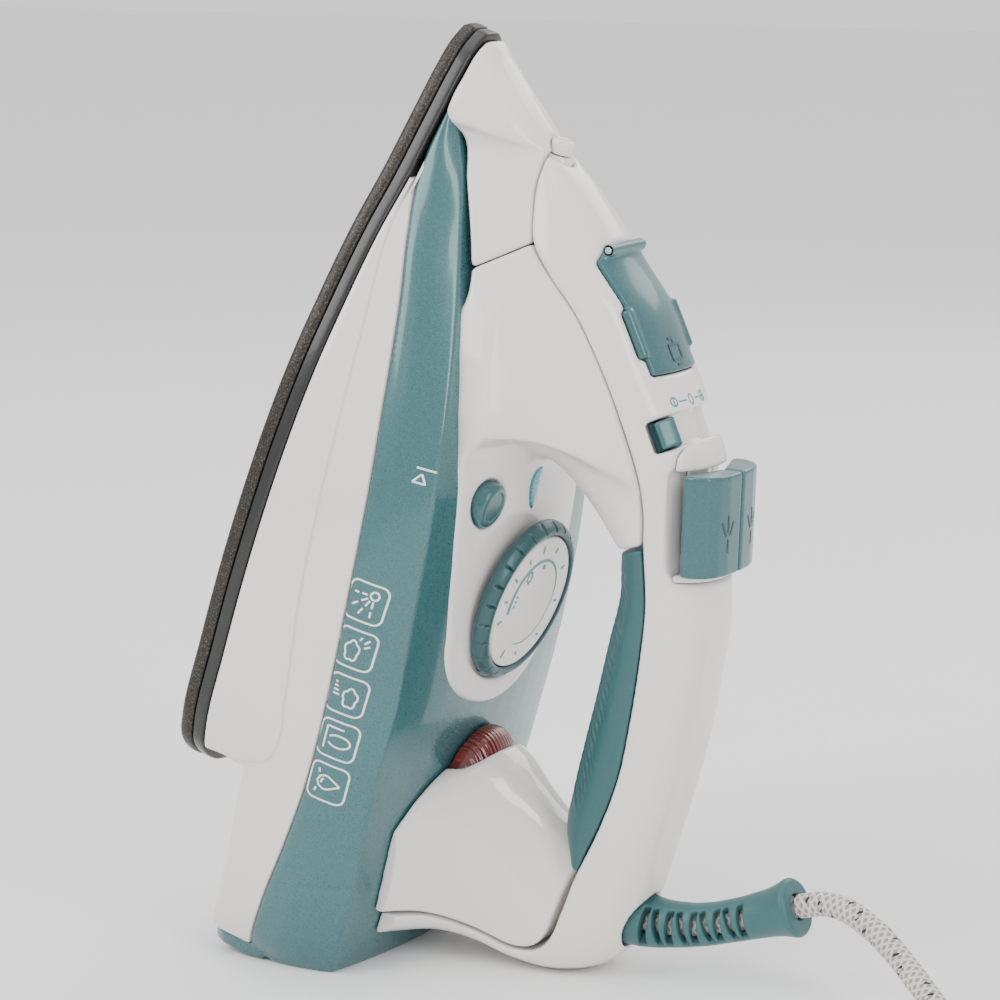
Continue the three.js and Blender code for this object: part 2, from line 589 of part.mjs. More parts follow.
function rearColumn() {
  const outer = loft(REAR.map((row) => rearRing(row, 0)));
  const under = tankOuter().translate([0, 0, GAP]);
  const inner = REAR.map(([z, ...rest], i) => rearRing([
    z + (i === REAR.length - 1 ? 3 : 0) - (i ? 0 : 6), ...rest], WALL));
  const gripZone = across([[GRIP[8][0] - GAP, 126], [-4.6, 126.5], [-4.6, 124.6],
    [8.2, 108.6], [14, 108.6], [14, 126]], -30, 30);
  return outer.subtract(under).subtract(loft(inner)).subtract(gripZone)
    .subtract(shellKeepOut()).subtract(lensSolid(GAP));
}

// The handle shell's own space, filled, with a gap round it
function shellKeepOut() {
  const rings = SHELL.slice(14).map(([ax, az, bx, bz, half]) => {
    const reach = Math.hypot(bx - ax, bz - az);
    const [ux, uz] = [(bx - ax) / reach, (bz - az) / reach];
    return bandRing([ax - ux * GAP, az - uz * GAP, bx + ux * 4, bz + uz * 4], half + 4, 4, 0, 0);
  });
  return loft(rings);
}

// ---- controls ----------------------------------------------------------------------------
const CLEAN = [101, 24.5]; // self-clean button on the dial panel
const CLEAN_FACE = 66.4;

function selfCleanButton() {
  const [x, y] = CLEAN;
  return turned([[0, 59], [7.2, 59], [7.2, CLEAN_FACE - 1],
    [6.2, CLEAN_FACE], [0, CLEAN_FACE]], x, y, 24);
}

function dialRing() {
  const foot = DIAL_FOOT;
  const outer = [];
  const notches = 24;
  for (let k = 0; k < notches * 2; k += 1) {
    const turn = (2 * Math.PI * k) / (notches * 2);
    outer.push([turn, k % 2 ? 0.7 : 0]);
  }
  const ring = (radius, z) => outer.map(([turn, dip]) => new THREE.Vector3(
    DIAL_X + (radius - dip) * Math.cos(turn), (radius - dip) * Math.sin(turn), z));
  const body = loft([ring(DIAL_R, foot), ring(DIAL_R - 0.4, foot + 2.6), ring(DISC_R + 1.6, DIAL_TOP)]);
  return body.subtract(bar([DIAL_X, 0, foot + 1.5], [DIAL_X, 0, DIAL_TOP + 1], DISC_R, DISC_R, 32))
    .subtract(bar([DIAL_X, 0, foot - 1], [DIAL_X, 0, foot + 3], SPINDLE_R + GAP));
}

function dialDisc() {
  const foot = DIAL_FOOT;
  return turned([[0, foot + 1.5 + GAP], [DISC_R - GAP, foot + 1.5 + GAP],
    [DISC_R - GAP, DIAL_TOP - 0.5], [DISC_R - 0.8, DIAL_TOP], [0, DIAL_TOP]], DIAL_X, 0, 32);
}

function dialSpindle() {
  return bar([DIAL_X, 0, 29.5], [DIAL_X, 0, DIAL_FOOT + 1.5], SPINDLE_R);
}

// The leaf-shaped mark that the dial is read against
function pointerOutline(grow) {
  const outline = [];
  for (let k = 0; k < 12; k += 1) {
    const turn = (Math.PI * k) / 6;
    outline.push([107 + (7 + grow) * Math.cos(turn), (2.2 + grow) * Math.sin(turn)]);
  }
  return outline;
}

function dialPointer() {
  const z = roof(107, 0);
  return slab(pointerOutline(0), z, z + 2.6);
}

function lensSolid(grow) {
  const centre = [6, 0, 79.5];
  const geometry = new THREE.SphereGeometry(13 + grow, 16, 10);
  geometry.scale(1, 1, 0.62).rotateY(radians(-20)).translate(...centre);
  return toSolid(geometry).intersect(box([2 - grow, -20, 77.6 - grow], [40, 20, 92]));
}

// ---- nozzle ------------------------------------------------------------------------------
const NOZZLE_Z = 42;
const nozzleSpace = (grow) => bar([198, 0, NOZZLE_Z], [204.5, 0, NOZZLE_Z], 4.6 + grow)
  .add(bar([204, 0, NOZZLE_Z], [214, 0, NOZZLE_Z], 3.6 + grow));

function sprayNozzle() {
  const body = turnedAlongX([[0, 204.8], [3.5, 204.8], [3.5, 208.4], [2.9, 209.2], [1.5, 209.2],
    [0.9, 207.6], [0, 207.6]], 24);
  return body;
}

const nozzleCollar = () => turnedAlongX([[2.1, 198.2], [4.5, 198.2], [4.5, 204.4], [2.1, 204.4],
  [2.1, 198.2]], 24);

// A piece of revolution about the nozzle's axis: profile of [radius, x]
function turnedAlongX(profile, segments) {
  const geometry = new THREE.LatheGeometry(profile.map((p) => new THREE.Vector2(...p)), segments);
  return toSolid(geometry.rotateZ(-Math.PI / 2).translate(0, 0, NOZZLE_Z));
}

// ---- inside --------------------------------------------------------------------------------
// A water pump: a cup that the button's stem runs down into, with its return spring inside
const pumpBody = (side) => pushBar(side, PUMP_FOOT, -12, 5.6, 14)
  .subtract(pushBar(side, PUMP_FOOT + 1.5, -11, 3.5, 14));

function pumpSpring(side) {
  const turns = 3.5;
  const points = [];
  for (let k = 0; k <= turns * 8; k += 1) {
    const turn = (2 * Math.PI * k) / 8;
    const n = PUMP_FOOT + 2.4 + (6 * k) / (turns * 8);
    const [x, z] = onTop(2.7 * Math.cos(turn), n);
    points.push([x, side * PUMP_Y + 2.7 * Math.sin(turn), z]);
  }
  return rod(points, 0.45, 28, 4);
}

function thermostat() {
  const body = box([58, -9, BOSS_TOP + 2 + GAP], [78, 9, 26]);
  return body.add(bar([DIAL_X, 0, 25], [DIAL_X, 0, 29], 5));
}

function dripValve() {
  const seat = bar([VALVE_X, 0, BOSS_TOP + 2 + GAP], [VALVE_X, 0, 24], 6);
  return seat.add(bar([VALVE_X, 0, 23], [VALVE_X, 0, 74], 1.4, 1.4, 10));
}

function fillFunnel() {
  const [top, foot] = [[165.5, 0, 87.5], [152, 0, 46]];
  return bar(top, foot, 7.2).subtract(bar([167, 0, 92], [151, 0, 42.8], 5.8));
}

const nozzleHose = () => rod([[196.8, 0, NOZZLE_Z], [190, 2, 43.5], [178, 9, 52],
  [160, 13.5, 66], [140, 13.5, 78], [123, 11, 88], [112.5, PUMP_Y, 95.5],
  [onTop(0, PUMP_FOOT)[0], PUMP_Y, onTop(0, PUMP_FOOT - 1)[1]]], 1.6, 16, 6);

const terminalBlock = () => box([-22, -9, 92], [-4, 9, 103])
  .subtract(bar([-30, 0, 97.5], [-14, 0, 97.5], 2));

function heelScrew() {
  const head = bar([-40.6, 0, 97.5], [-37.8, 0, 97.5], 3.6, 3.6, 14);
  const slot = box([-42, -0.5, 94.5], [-39.6, 0.5, 100.5]);
  return head.subtract(slot).add(bar([-38.5, 0, 97.5], [-15, 0, 97.5], 1.6, 1.6, 10));
}

const CHAMBER_SCREWS = { front_left: [140, 31], front_right: [140, -31], rear_left: [14, 42.5],
  rear_right: [14, -42.5] };
const chamberScrew = ([x, y]) => bar([x, y, BOSS_TOP + 2 + GAP], [x, y, BOSS_TOP + 4.4], 2.6,
  2.6, 12).add(bar([x, y, 9], [x, y, BOSS_TOP + 3], 1.2, 1.2, 8));
const screwHoles = () => Object.values(CHAMBER_SCREWS)
  .map(([x, y]) => bar([x, y, 8], [x, y, BOSS_TOP + 2.1], 1.5, 1.5, 8))
  .reduce((all, hole) => all.add(hole));

// ---- cord guard ----------------------------------------------------------------------------
// A round body of changing radius along a smooth path
function tapered(points, radii, steps, sides = 12) {
  const path = new THREE.CatmullRomCurve3(points.map((p) => new THREE.Vector3(...p)));
  const across = new THREE.Vector3(0, 1, 0);
  const rings = [];
  for (let i = 0; i <= steps; i += 1) {
    const centre = path.getPoint(i / steps);
    const side = path.getTangent(i / steps).cross(across).normalize();
    const spot = (i / steps) * (radii.length - 1);
    const k = Math.min(Math.floor(spot), radii.length - 2);
    const radius = radii[k] + (radii[k + 1] - radii[k]) * (spot - k);
    rings.push(Array.from({ length: sides }, (_, n) => {
      const turn = (2 * Math.PI * n) / sides;
      return centre.clone().addScaledVector(side, radius * Math.cos(turn))
        .addScaledVector(across, radius * Math.sin(turn));
    }));
  }
  return loft(rings);
}

const cordGuard = () => tapered(GUARD_PATH.map(([x, z]) => [x, 0, z]), GUARD_RADII, 14, 10);

// ---- plug and cord (laid out in the world frame) -----------------------------------------
const CORD_R = CORD_D / 2;
const FLOOR_R = CORD_R + 0.05;
const COIL_OUTER = COIL_MEAN + CORD_D * (COIL_COLUMNS / 2);
const COIL_INNER = COIL_MEAN - CORD_D * (COIL_COLUMNS / 2);
const COIL_FOOT = 0.05;
const COIL_HEIGHT = CORD_D * 1.95;

function coilRing() {
  const corner = 2.5;
  const profile = [
    [COIL_INNER, COIL_FOOT + corner], [COIL_INNER + corner, COIL_FOOT],
    [COIL_OUTER - corner, COIL_FOOT], [COIL_OUTER, COIL_FOOT + corner],
    [COIL_OUTER, COIL_HEIGHT - corner], [COIL_OUTER - corner, COIL_HEIGHT],
    [COIL_INNER + corner, COIL_HEIGHT], [COIL_INNER, COIL_HEIGHT - corner],
    [COIL_INNER, COIL_FOOT + corner]];
  return turned(profile, COIL_X, 0, 32);
}

// From the guard's end down to the floor and up to the coil's outer turn
const CORD_ROUTE = [[105.1, 0, 31], [113, -0.5, 33.2], [121, -2, 32.8], [131, -5, 29.2],
  [142, -10, 23.2], [154, -17, 15.8], [166, -25, 9.2], [178, -33, 5.1], [190, -40.5, FLOOR_R],
  [201, -46, FLOOR_R], [211.6, -49, FLOOR_R]];
// From the coil's top round to the plug
const TAIL_ROUTE = [[279.5, -14.4, 18.9], [281.6, -7, 18.9], [282, 1, 19], [280.5, 9, 19.6],
  [276, 18, 20.8], [268, 26, 22.6], [258, 31.5, 24.8], [251, 33.9, 26.7], [244.9, 34, 27]];

function coilTie() {
  const [turn, half] = [radians(-150), 4];
  const clip = (grow, low) => box([COIL_INNER - grow, -half, low],
    [COIL_OUTER + grow, half, COIL_HEIGHT + grow]);
  return clip(1.3, 0.1).subtract(clip(0.7, -1).scale([1, 2, 1]))
    .rotate([0, 0, THREE.MathUtils.radToDeg(turn)]).translate([COIL_X, 0, 0]);
}

const PLUG = { x: 236, y: 34, z: 27, length: 36, half: 13, high: 11.6 };

function plugBody() {
  const ring = (x, wide, high) => Array.from({ length: 16 }, (_, k) => {
    const turn = (2 * Math.PI * k) / 16;
    const pull = (v) => Math.sign(v) * Math.abs(v) ** 0.6;
    return new THREE.Vector3(x, PLUG.y + wide * pull(Math.cos(turn)),
      PLUG.z + high * pull(Math.sin(turn)));
  });
  const { x, half, high, length } = PLUG;
  return loft([ring(x + 8, 4.6, 4.6), ring(x, 5.4, 5.4), ring(x - 7, half * 0.85, high * 0.9),
    ring(x - 14, half, high), ring(x - length + 1, half, high), ring(x - length, half - 1, high - 1)]);
}

function plugPin(dy, dz, radius) {
  const [x0, x1] = [PLUG.x - PLUG.length - GAP, PLUG.x - PLUG.length - 19];
  return bar([x0, PLUG.y + dy, PLUG.z + dz], [x1 + 1, PLUG.y + dy, PLUG.z + dz], radius)
    .add(bar([x1 + 1.1, PLUG.y + dy, PLUG.z + dz], [x1, PLUG.y + dy, PLUG.z + dz], radius,
      radius * 0.6));
}

// ---- materials -----------------------------------------------------------------------------
const paint = (color, roughness, metalness = 0) => new THREE.MeshStandardMaterial(
  { color, roughness, metalness });
const white = () => paint('#e8e2dc', 0.25);
const glossWhite = () => paint('#ece7e2', 0.12);
const teal = () => paint('#3f7c80', 0.35);
const darkTeal = () => paint('#2f6266', 0.4);
const tankTeal = () => paint('#4c8588', 0.22);
const black = () => paint('#1a191a', 0.35);
const aluminium = () => paint('#8d857a', 0.35, 0.7);
const steel = () => paint('#b9bbbd', 0.3, 1);
const brass = () => paint('#c9a557', 0.3, 1);
const mould = () => paint('#d9d6cf', 0.6);
const redLens = () => paint('#7d1c17', 0.15);
const textile = () => paint('#cfc9bf', 0.9);

// ---- assembly ------------------------------------------------------------------------------
const iron = new THREE.Group();
const part = new THREE.Group();

function place(group, name, solid, material) {
  const mesh = new THREE.Mesh(toGeometry(solid), material);
  mesh.name = name;
  group.add(mesh);
}

// Everything that reaches the floor rests on flats cut along the standing plane
const slope = Math.tan(radians(LEAN));
const floorX = (z) => (-HEEL_LINE / Math.cos(radians(LEAN))) + z * slope;
const belowFloor = across([[floorX(-50), -50], [floorX(220), 220], [-200, 220], [-200, -50]],
  -90, 90);

place(iron, 'soleplate', soleplate().subtract(screwHoles()), aluminium());
place(iron, 'steam_chamber_cover', chamberCover().subtract(screwHoles()), steel());
place(iron, 'heating_element', heatingElement(), steel());
place(iron, 'thermostat', thermostat(), mould());
place(iron, 'thermal_fuse', bar([40, -12, BOSS_TOP + 5], [56, -12, BOSS_TOP + 5], 2.6), mould());
place(iron, 'sole_band', soleBand(), black());
place(iron, 'heat_shield', heatShield(), white());
place(iron, 'upper_skirt', upperSkirt(), white());
place(iron, 'water_tank', waterTank().subtract(belowFloor), tankTeal());
place(iron, 'nose_cover', noseCover(), white());
place(iron, 'dial_panel', dialPanel(), white());
place(iron, 'handle_shell', handleShell().subtract(belowFloor), white());
place(iron, 'grip', grip(), teal());
place(iron, 'rear_column', rearColumn(), glossWhite());
place(iron, 'control_panel', controlPanel(), white());
place(iron, 'spray_button', pushButton(1), teal());
place(iron, 'burst_button', pushButton(-1), teal());
place(iron, 'steam_lever', steamLever(), teal());
place(iron, 'filler_cap', fillerCap(), teal());
place(iron, 'cap_hinge_pin', knuckleBar(CAP_HALF - 0.4, 1.1), steel());
place(iron, 'self_clean_button', selfCleanButton(), teal());
place(iron, 'dial_ring', dialRing(), darkTeal());
place(iron, 'dial_disc', dialDisc(), white());
place(iron, 'dial_spindle', dialSpindle(), steel());
place(iron, 'dial_pointer', dialPointer(), tankTeal());
place(iron, 'pilot_lens', lensSolid(0), redLens());
place(iron, 'pilot_lamp', bar([3, 0, 74], [3, 0, 77], 2.2), steel());
place(iron, 'spray_nozzle', sprayNozzle(), white());
place(iron, 'nozzle_collar', nozzleCollar(), white());
place(iron, 'nozzle_hose', nozzleHose(), mould());
place(iron, 'spray_pump', pumpBody(1), mould());
place(iron, 'burst_pump', pumpBody(-1), mould());
place(iron, 'spray_pump_spring', pumpSpring(1), steel());
place(iron, 'burst_pump_spring', pumpSpring(-1), steel());
place(iron, 'drip_valve', dripValve(), brass());
place(iron, 'fill_funnel', fillFunnel(), mould());
place(iron, 'terminal_block', terminalBlock(), mould());
place(iron, 'heel_screw', heelScrew(), steel());
for (const [corner, spot] of Object.entries(CHAMBER_SCREWS)) {
  place(iron, `chamber_screw_${corner}`, chamberScrew(spot), steel());
}
place(iron, 'cord_guard', cordGuard(), teal());
place(part, 'cord', rod(CORD_ROUTE, CORD_R, 18, 10), textile());
place(part, 'cord_coil', coilRing(), textile());
place(part, 'cord_tail', rod(TAIL_ROUTE, CORD_R, 12, 10), textile());
place(part, 'coil_tie', coilTie(), black());
place(part, 'plug_body', plugBody(), black());
place(part, 'plug_pin_line', plugPin(-8, -2.6, 2.2), brass());
place(part, 'plug_pin_neutral', plugPin(8, -2.6, 2.2), brass());
place(part, 'plug_pin_earth', plugPin(0, 6, 2.6), brass());

const matrix = new THREE.Matrix4().makeBasis(
  new THREE.Vector3(Math.sin(radians(LEAN)), 0, Math.cos(radians(LEAN))),
  new THREE.Vector3(0, -1, 0),
  new THREE.Vector3(Math.cos(radians(LEAN)), 0, -Math.sin(radians(LEAN))));
iron.applyMatrix4(matrix);
iron.position.z = HEEL_LINE;
iron.updateMatrixWorld(true);

// The frame's origin is under the middle of the iron, its cord and cord guard left out
const extent = new THREE.Box3();
for (const mesh of iron.children.filter((child) => child.name !== 'cord_guard')) {
  extent.expandByObject(mesh, true);
}
iron.position.x = -(extent.min.x + extent.max.x) / 2;
part.add(iron);

export default part;
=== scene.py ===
"""Looks of a steam iron standing on its heel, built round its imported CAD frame.

Pieces of the iron are drawn lying flat, in millimetres: +x to the nose, +y to the iron's left,
+z from the soleplate to the handle. IRON stands them up in the row frame, in metres.
"""

import json
import math

import bpy
import numpy as np
import openvdb
from mathutils import Matrix, Vector
from mathutils.bvhtree import BVHTree


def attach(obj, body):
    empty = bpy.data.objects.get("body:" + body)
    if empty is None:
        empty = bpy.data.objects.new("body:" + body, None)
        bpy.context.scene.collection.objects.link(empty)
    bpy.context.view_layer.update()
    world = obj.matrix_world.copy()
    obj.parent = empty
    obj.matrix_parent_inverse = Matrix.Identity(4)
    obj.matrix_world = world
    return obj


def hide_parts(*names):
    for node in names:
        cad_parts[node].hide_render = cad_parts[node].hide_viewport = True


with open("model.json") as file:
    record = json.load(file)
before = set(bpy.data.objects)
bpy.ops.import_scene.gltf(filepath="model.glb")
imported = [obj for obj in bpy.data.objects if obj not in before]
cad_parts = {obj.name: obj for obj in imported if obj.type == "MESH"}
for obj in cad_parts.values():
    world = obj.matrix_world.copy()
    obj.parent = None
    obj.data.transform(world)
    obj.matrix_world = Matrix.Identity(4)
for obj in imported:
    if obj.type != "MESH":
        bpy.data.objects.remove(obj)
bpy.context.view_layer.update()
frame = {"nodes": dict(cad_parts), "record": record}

LEAN = math.radians(18)
SIN, COS = math.sin(LEAN) / 1000, math.cos(LEAN) / 1000
FLOOR_RISE = 0.0739  # the lying iron's origin over the floor it stands on, in metres
IRON = Matrix(((SIN, 0, COS, -0.082206), (0, -0.001, 0, 0), (COS, 0, -SIN, FLOOR_RISE), (0, 0, 0, 1)))
CLEAR = 0.3  # gap between shells
DIAL_X, DIAL_R, DISC_R, DIAL_FOOT = 68, 26.7, 22.5, 71
MARK_Z = 76.16  # the dial's printed scale
NOZZLE_Z = 42
CAP_HALF, CAP_PIN_X, CAP_PIN_Z = 14, 185.6, 71.6
INSERT_HALF = 16.5
BUTTON_SINK = 5.1
CLEAN = (101, 24.5, 66.4)
CORD_D = 7.5
COIL_X = 0.240  # the coil's middle on the floor, in metres
GUARD_BORE = 4.1

# ---- shape tables ------------------------------------------------------------------------
# Half width of the soleplate: [x, half width]
SOLE = [
    [-9.5, 40], [-8.4, 47], [-5, 53.8], [1, 59.4], [8, 61.6], [34, 62.9], [61, 63], [84, 61.6],
    [106, 58.9], [127, 54.5], [149, 47.2], [170, 38.7], [187, 29.5], [207, 20.3], [219, 14.6],
    [227, 9.6], [231, 5]]
# Seam between the skirt and the tank: [x, half width, z]
TANK_FOOT = [
    [-62, 47, 38], [-55, 51.5, 39.5], [-40, 55, 41.5], [-20, 57, 44.5], [6, 57.5, 46.5],
    [27, 58.7, 46.6], [47, 59, 45.5], [67, 58.8, 43.7], [86, 57.6, 41.4], [104, 55.4, 38.4],
    [121, 52, 34.4], [138, 47.1, 29.6], [155, 41.3, 24], [171, 35.2, 17.5], [186, 26.9, 11],
    [194, 23.5, 9.6], [210, 17, 9.6]]
# Crease between the tank's side and its roof
CREASE = [
    [-62, 44, 66], [-55, 47, 68.5], [-40, 49.5, 69.5], [-10, 50.5, 68], [13, 52, 66.8],
    [38, 51.5, 66.3], [59, 52, 64.5], [84, 51.3, 61.5], [107, 49.2, 57.4], [128, 45, 52],
    [160, 33.5, 39], [176, 27, 31], [191, 20.5, 22.4], [202, 16.2, 15], [210, 15, 11]]
# Seam between the tank and the white covers
COVER_FOOT = [
    [56, 33, 67.5], [72, 37, 64.8], [91, 39, 62.4], [110, 39.5, 60], [129, 39, 56.2],
    [145, 36, 50], [161, 31, 41.6], [176.5, 26, 33], [191, 19.6, 23], [202, 15, 15.6],
    [206.5, 18, 10], [212, 17, 9.6], [219, 13.4, 9.6], [226, 9.3, 9.6], [229.5, 5, 9.6]]
# Seam between the covers and the handle shell
SEAM = [
    [108, 17.6, 113], [127, 20, 106], [140, 21.6, 97], [152.6, 22.6, 86.5], [168, 22.6, 70.6],
    [173.5, 22, 61], [180.7, 20, 50.8], [187, 17, 47], [193.7, 13.5, 43.5], [198.4, 11, 42],
    [205.6, 7, 40.5]]
NOSE_RIDGE = [[204, 45], [211, 36], [217, 27.5], [225, 16.5], [229.5, 11.5], [230.5, 9.6]]
# The handle shell from the nozzle over the top and down the back:
# [seam x, seam z, outer x, outer z, half width]
SHELL = [
    [204.6, 41.2, 203.4, 45.5, 7.5], [198, 42.4, 201, 51, 11.5], [189, 46, 195.3, 59.4, 16],
    [181, 51, 188.5, 68.2, 20], [174, 60.5, 181.3, 76.7, 22], [167, 71.5, 173.4, 87.4, 22.4],
    [153, 86.3, 160.9, 98.6, 22.2], [140, 97, 148.8, 109.7, 21.3], [127, 106, 135.2, 121.5, 20],
    [117, 110.5, 118, 130, 18.6], [107, 113.2, 102, 135.5, 17.5], [91, 119, 90, 139.5, 17],
    [73, 123, 72, 142.5, 17], [54, 126, 54, 144.7, 17], [34, 128, 34, 145.8, 17],
    [16, 127, 17, 146, 17], [-2, 124.6, -3, 146, 17.5], [-14, 124, -19, 144.5, 18],
    [-24, 123, -30, 138, 18.2], [-30, 119.5, -36.9, 126, 18.4], [-33, 112, -39, 112.5, 19],
    [-32.5, 98, -39.5, 98, 21], [-32.5, 85, -41.5, 86, 26.5], [-34, 77, -44, 78.5, 35.5],
    [-35.5, 71, -46, 72.5, 45.5]]
# The grip and the front column: [seam x, seam z, inner x, inner z, half width]
GRIP = [
    [106, 113.2, 99.4, 103.2, 17.4], [100, 115.6, 94, 104.4, 17.1], [91, 119, 88, 106, 17],
    [73, 123, 71, 107, 17], [54, 126, 54, 108.2, 17], [34, 128, 35, 109.3, 17],
    [20, 127.3, 21, 110.6, 17.1], [8, 125.8, 9.5, 113, 17.2], [0.5, 124.9, 1.5, 119.5, 17.4]]
COLUMN = [
    [142, 95.5, 124, 60, 21.4], [127, 105.5, 116, 76, 20], [117, 110, 109, 89.5, 18.8],
    [107, 112.6, 100, 102.6, 17.5]]
# The rear column: [z, rear x, front x, half width]
REAR = [
    [70, -36.5, 12.5, 46.5], [73, -35, 15, 41.5], [77, -34, 18, 35.5], [81, -33.2, 20, 31],
    [88, -32.4, 19, 26],
    [98, -32, 13.5, 21.5], [108, -32.5, 8.5, 19.2], [116, -33, 6, 18.2], [124, -33, 4, 17.6]]
SHIELD_TOP = [
    [0, 10], [1.2, 19], [3.5, 27.5], [7, 32.6], [12, 34.3], [30, 33], [60, 29], [92, 25.5],
    [120, 22], [145, 17.5], [165, 13], [184, 10]]
SKIRT_LOW = [[-62, 24.6], [-45, 25], [-30, 25.5], [-14, 24.5], [-1, 24]]


# ---- curves ------------------------------------------------------------------------------
def lengths(points):
    """Distance travelled along points, at each of them."""
    return np.r_[0, np.cumsum(np.linalg.norm(np.diff(points, axis=0), axis=1))]


def around(count):
    """Angles of a full turn in equal steps."""
    return np.linspace(0, 2 * np.pi, count, endpoint=False)


def curve(rows, count):
    """count rows along a smooth curve through the given ones."""
    p = np.array(rows, float)
    d = lengths(p)
    t = np.linspace(0, d[-1], count)
    slope = np.gradient(p, d, axis=0)
    i = np.clip(np.searchsorted(d, t, side="right") - 1, 0, len(d) - 2)
    w = (d[i + 1] - d[i])[:, None]
    s = (t - d[i])[:, None] / w
    return ((2 * s**3 - 3 * s**2 + 1) * p[i] + (s**3 - 2 * s**2 + s) * w * slope[i]
            + (3 * s**2 - 2 * s**3) * p[i + 1] + (s**3 - s**2) * w * slope[i + 1])


DENSE = {}


def at(table, x, column=1):
    """A table's column at x, along its smooth curve."""
    if id(table) not in DENSE:
        DENSE[id(table)] = curve(table, 500)
    rows = DENSE[id(table)]
    return np.interp(x, rows[:, 0], rows[:, column])


def roof(x, y):
    """Height of the tank's crowned roof."""
    crown = np.clip((178 - x) / 60, 0, 1) * 5.5
    return at(CREASE, x, 2) + crown * (1 - (y / at(CREASE, x)) ** 2)


# ---- solids as fields of distance --------------------------------------------------------
SKINS = {}  # surfaces in the iron's frame, for marks printed on them


class Grid:
    """A block of distance samples in the iron's frame, h millimetres apart."""

    def __init__(self, low, high, h):
        self.h = h
        self.first = [int(math.floor(v / h)) for v in low]
        self.shape = [int(math.ceil(v / h)) - f for v, f in zip(high, self.first)]
        ranges = [((f + np.arange(n)) * h).astype(np.float32)
                  for f, n in zip(self.first, self.shape)]
        self.x = ranges[0][:, None, None]
        self.y = ranges[1][None, :, None]
        self.z = ranges[2][None, None, :]

    def solid(self, rings, reach=3.0):
        """Distance to the closed solid lofted through rings, cut off at reach."""
        points, quads, tris = loft_faces(np.asarray(rings, float))
        made = openvdb.FloatGrid.createLevelSetFromPolygons(
            points.astype(np.float32), triangles=tris.astype(np.uint32),
            quads=quads.astype(np.uint32), halfWidth=reach / self.h,
            transform=openvdb.createLinearTransform(voxelSize=self.h))
        field = np.empty(self.shape, np.float32)
        made.copyToArray(field, ijk=tuple(self.first))
        return field

    def prism(self, corners):
        """Distance to a shape in the x-z plane, drawn right across the iron."""
        return polygon_distance(self.x, self.z, corners)

    def rod(self, a, b, radius):
        """Distance to a round bar from a to b."""
        a, b = np.array(a, float), np.array(b, float)
        length = np.linalg.norm(b - a)
        n = (b - a) / length
        px, py, pz = self.x - a[0], self.y - a[1], self.z - a[2]
        along = px * n[0] + py * n[1] + pz * n[2]
        across = np.sqrt(np.maximum(px**2 + py**2 + pz**2 - along**2, 0))
        return np.maximum(across - radius, np.abs(along - length / 2) - length / 2)

    def mesh(self, name, field, body="iron"):
        """The surface where the field is zero, as an object on a body."""
        made = openvdb.FloatGrid(float(field.max()))
        made.transform = openvdb.createLinearTransform(voxelSize=self.h)
        made.copyFromArray(np.ascontiguousarray(field, np.float32), ijk=tuple(self.first))
        points, quads = made.convertToQuads(0.0)
        SKINS[name] = BVHTree.FromPolygons(points.tolist(), quads.tolist())
        return piece(name, points, quads[:, ::-1], body)


def polygon_distance(u, v, corners):
    """Signed distance to a closed polygon, negative inside."""
    corners = np.array(corners, float)
    best, inside = None, False
    for (au, av), (bu, bv) in zip(corners, np.roll(corners, -1, axis=0)):
        eu, ev = bu - au, bv - av
        t = np.clip(((u - au) * eu + (v - av) * ev) / (eu**2 + ev**2), 0, 1)
        d = (u - au - t * eu) ** 2 + (v - av - t * ev) ** 2
        best = d if best is None else np.minimum(best, d)
        if bv != av:
            crosses = ((av > v) != (bv > v)) & (u < (v - av) * eu / ev + au)
            inside = crosses ^ inside
    return np.where(inside, -1, 1) * np.sqrt(best)


def join(a, b, radius):
    """Union with a fillet."""
    h = np.clip(0.5 + 0.5 * (b - a) / radius, 0, 1)
    return b + (a - b) * h - radius * h * (1 - h)


def cut(a, *others, gap=0.0):
    """a without the others and a gap round them."""
    for b in others:
        a = np.maximum(a, gap - b)
    return a


def soften(field, times=2):
    """Rounds the edges a little."""
    for _ in range(times):
        for axis in range(3):
            g = np.moveaxis(field, axis, 0)
            s = g.copy()
            s[1:-1] = (g[:-2] + 2 * g[1:-1] + g[2:]) / 4
            field = np.moveaxis(s, 0, axis)
    return field


# ---- meshes ------------------------------------------------------------------------------
def loft_faces(rings):
    """Points, quads and end fans of the solid through rings of equal point count."""
    s, m, _ = rings.shape
    points = np.vstack([rings.reshape(-1, 3), rings[0].mean(0), rings[-1].mean(0)])
    a = np.arange(m)
    b = np.roll(a, -1)
    steps = np.arange(s - 1)[:, None] * m
    quads = np.stack([steps + a, steps + b, steps + m + b, steps + m + a], -1).reshape(-1, 4)
    last = (s - 1) * m
    tris = np.vstack([np.stack([b, a, np.full(m, s * m)], 1),
                      np.stack([last + a, last + b, np.full(m, s * m + 1)], 1)])
    return points, quads, tris


def placed(name, data):
    """An object in the scene for a mesh, lamp or camera."""
    obj = bpy.data.objects.new(name, data)
    bpy.context.scene.collection.objects.link(obj)
    return obj


def aimed(name, data, place, direction):
    """A lamp or camera at a place, looking along a direction."""
    obj = placed(name, data)
    obj.location = place
    obj.rotation_mode = "QUATERNION"
    obj.rotation_quaternion = direction.to_track_quat("-Z", "Y")
    return obj


def piece(name, points, faces, body="iron", matrix=IRON, sharp=None):
    """A smooth mesh object from points in the iron's frame, riding on a body."""
    mesh = bpy.data.meshes.new(name)
    mesh.from_pydata(np.asarray(points, float).tolist(), [], [list(map(int, f)) for f in faces])
    mesh.transform(matrix)
    mesh.update()
    mesh.shade_smooth()
    if sharp is not None:
        mesh.set_sharp_from_angle(angle=math.radians(sharp))
    obj = placed(name, mesh)
    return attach(obj, body)


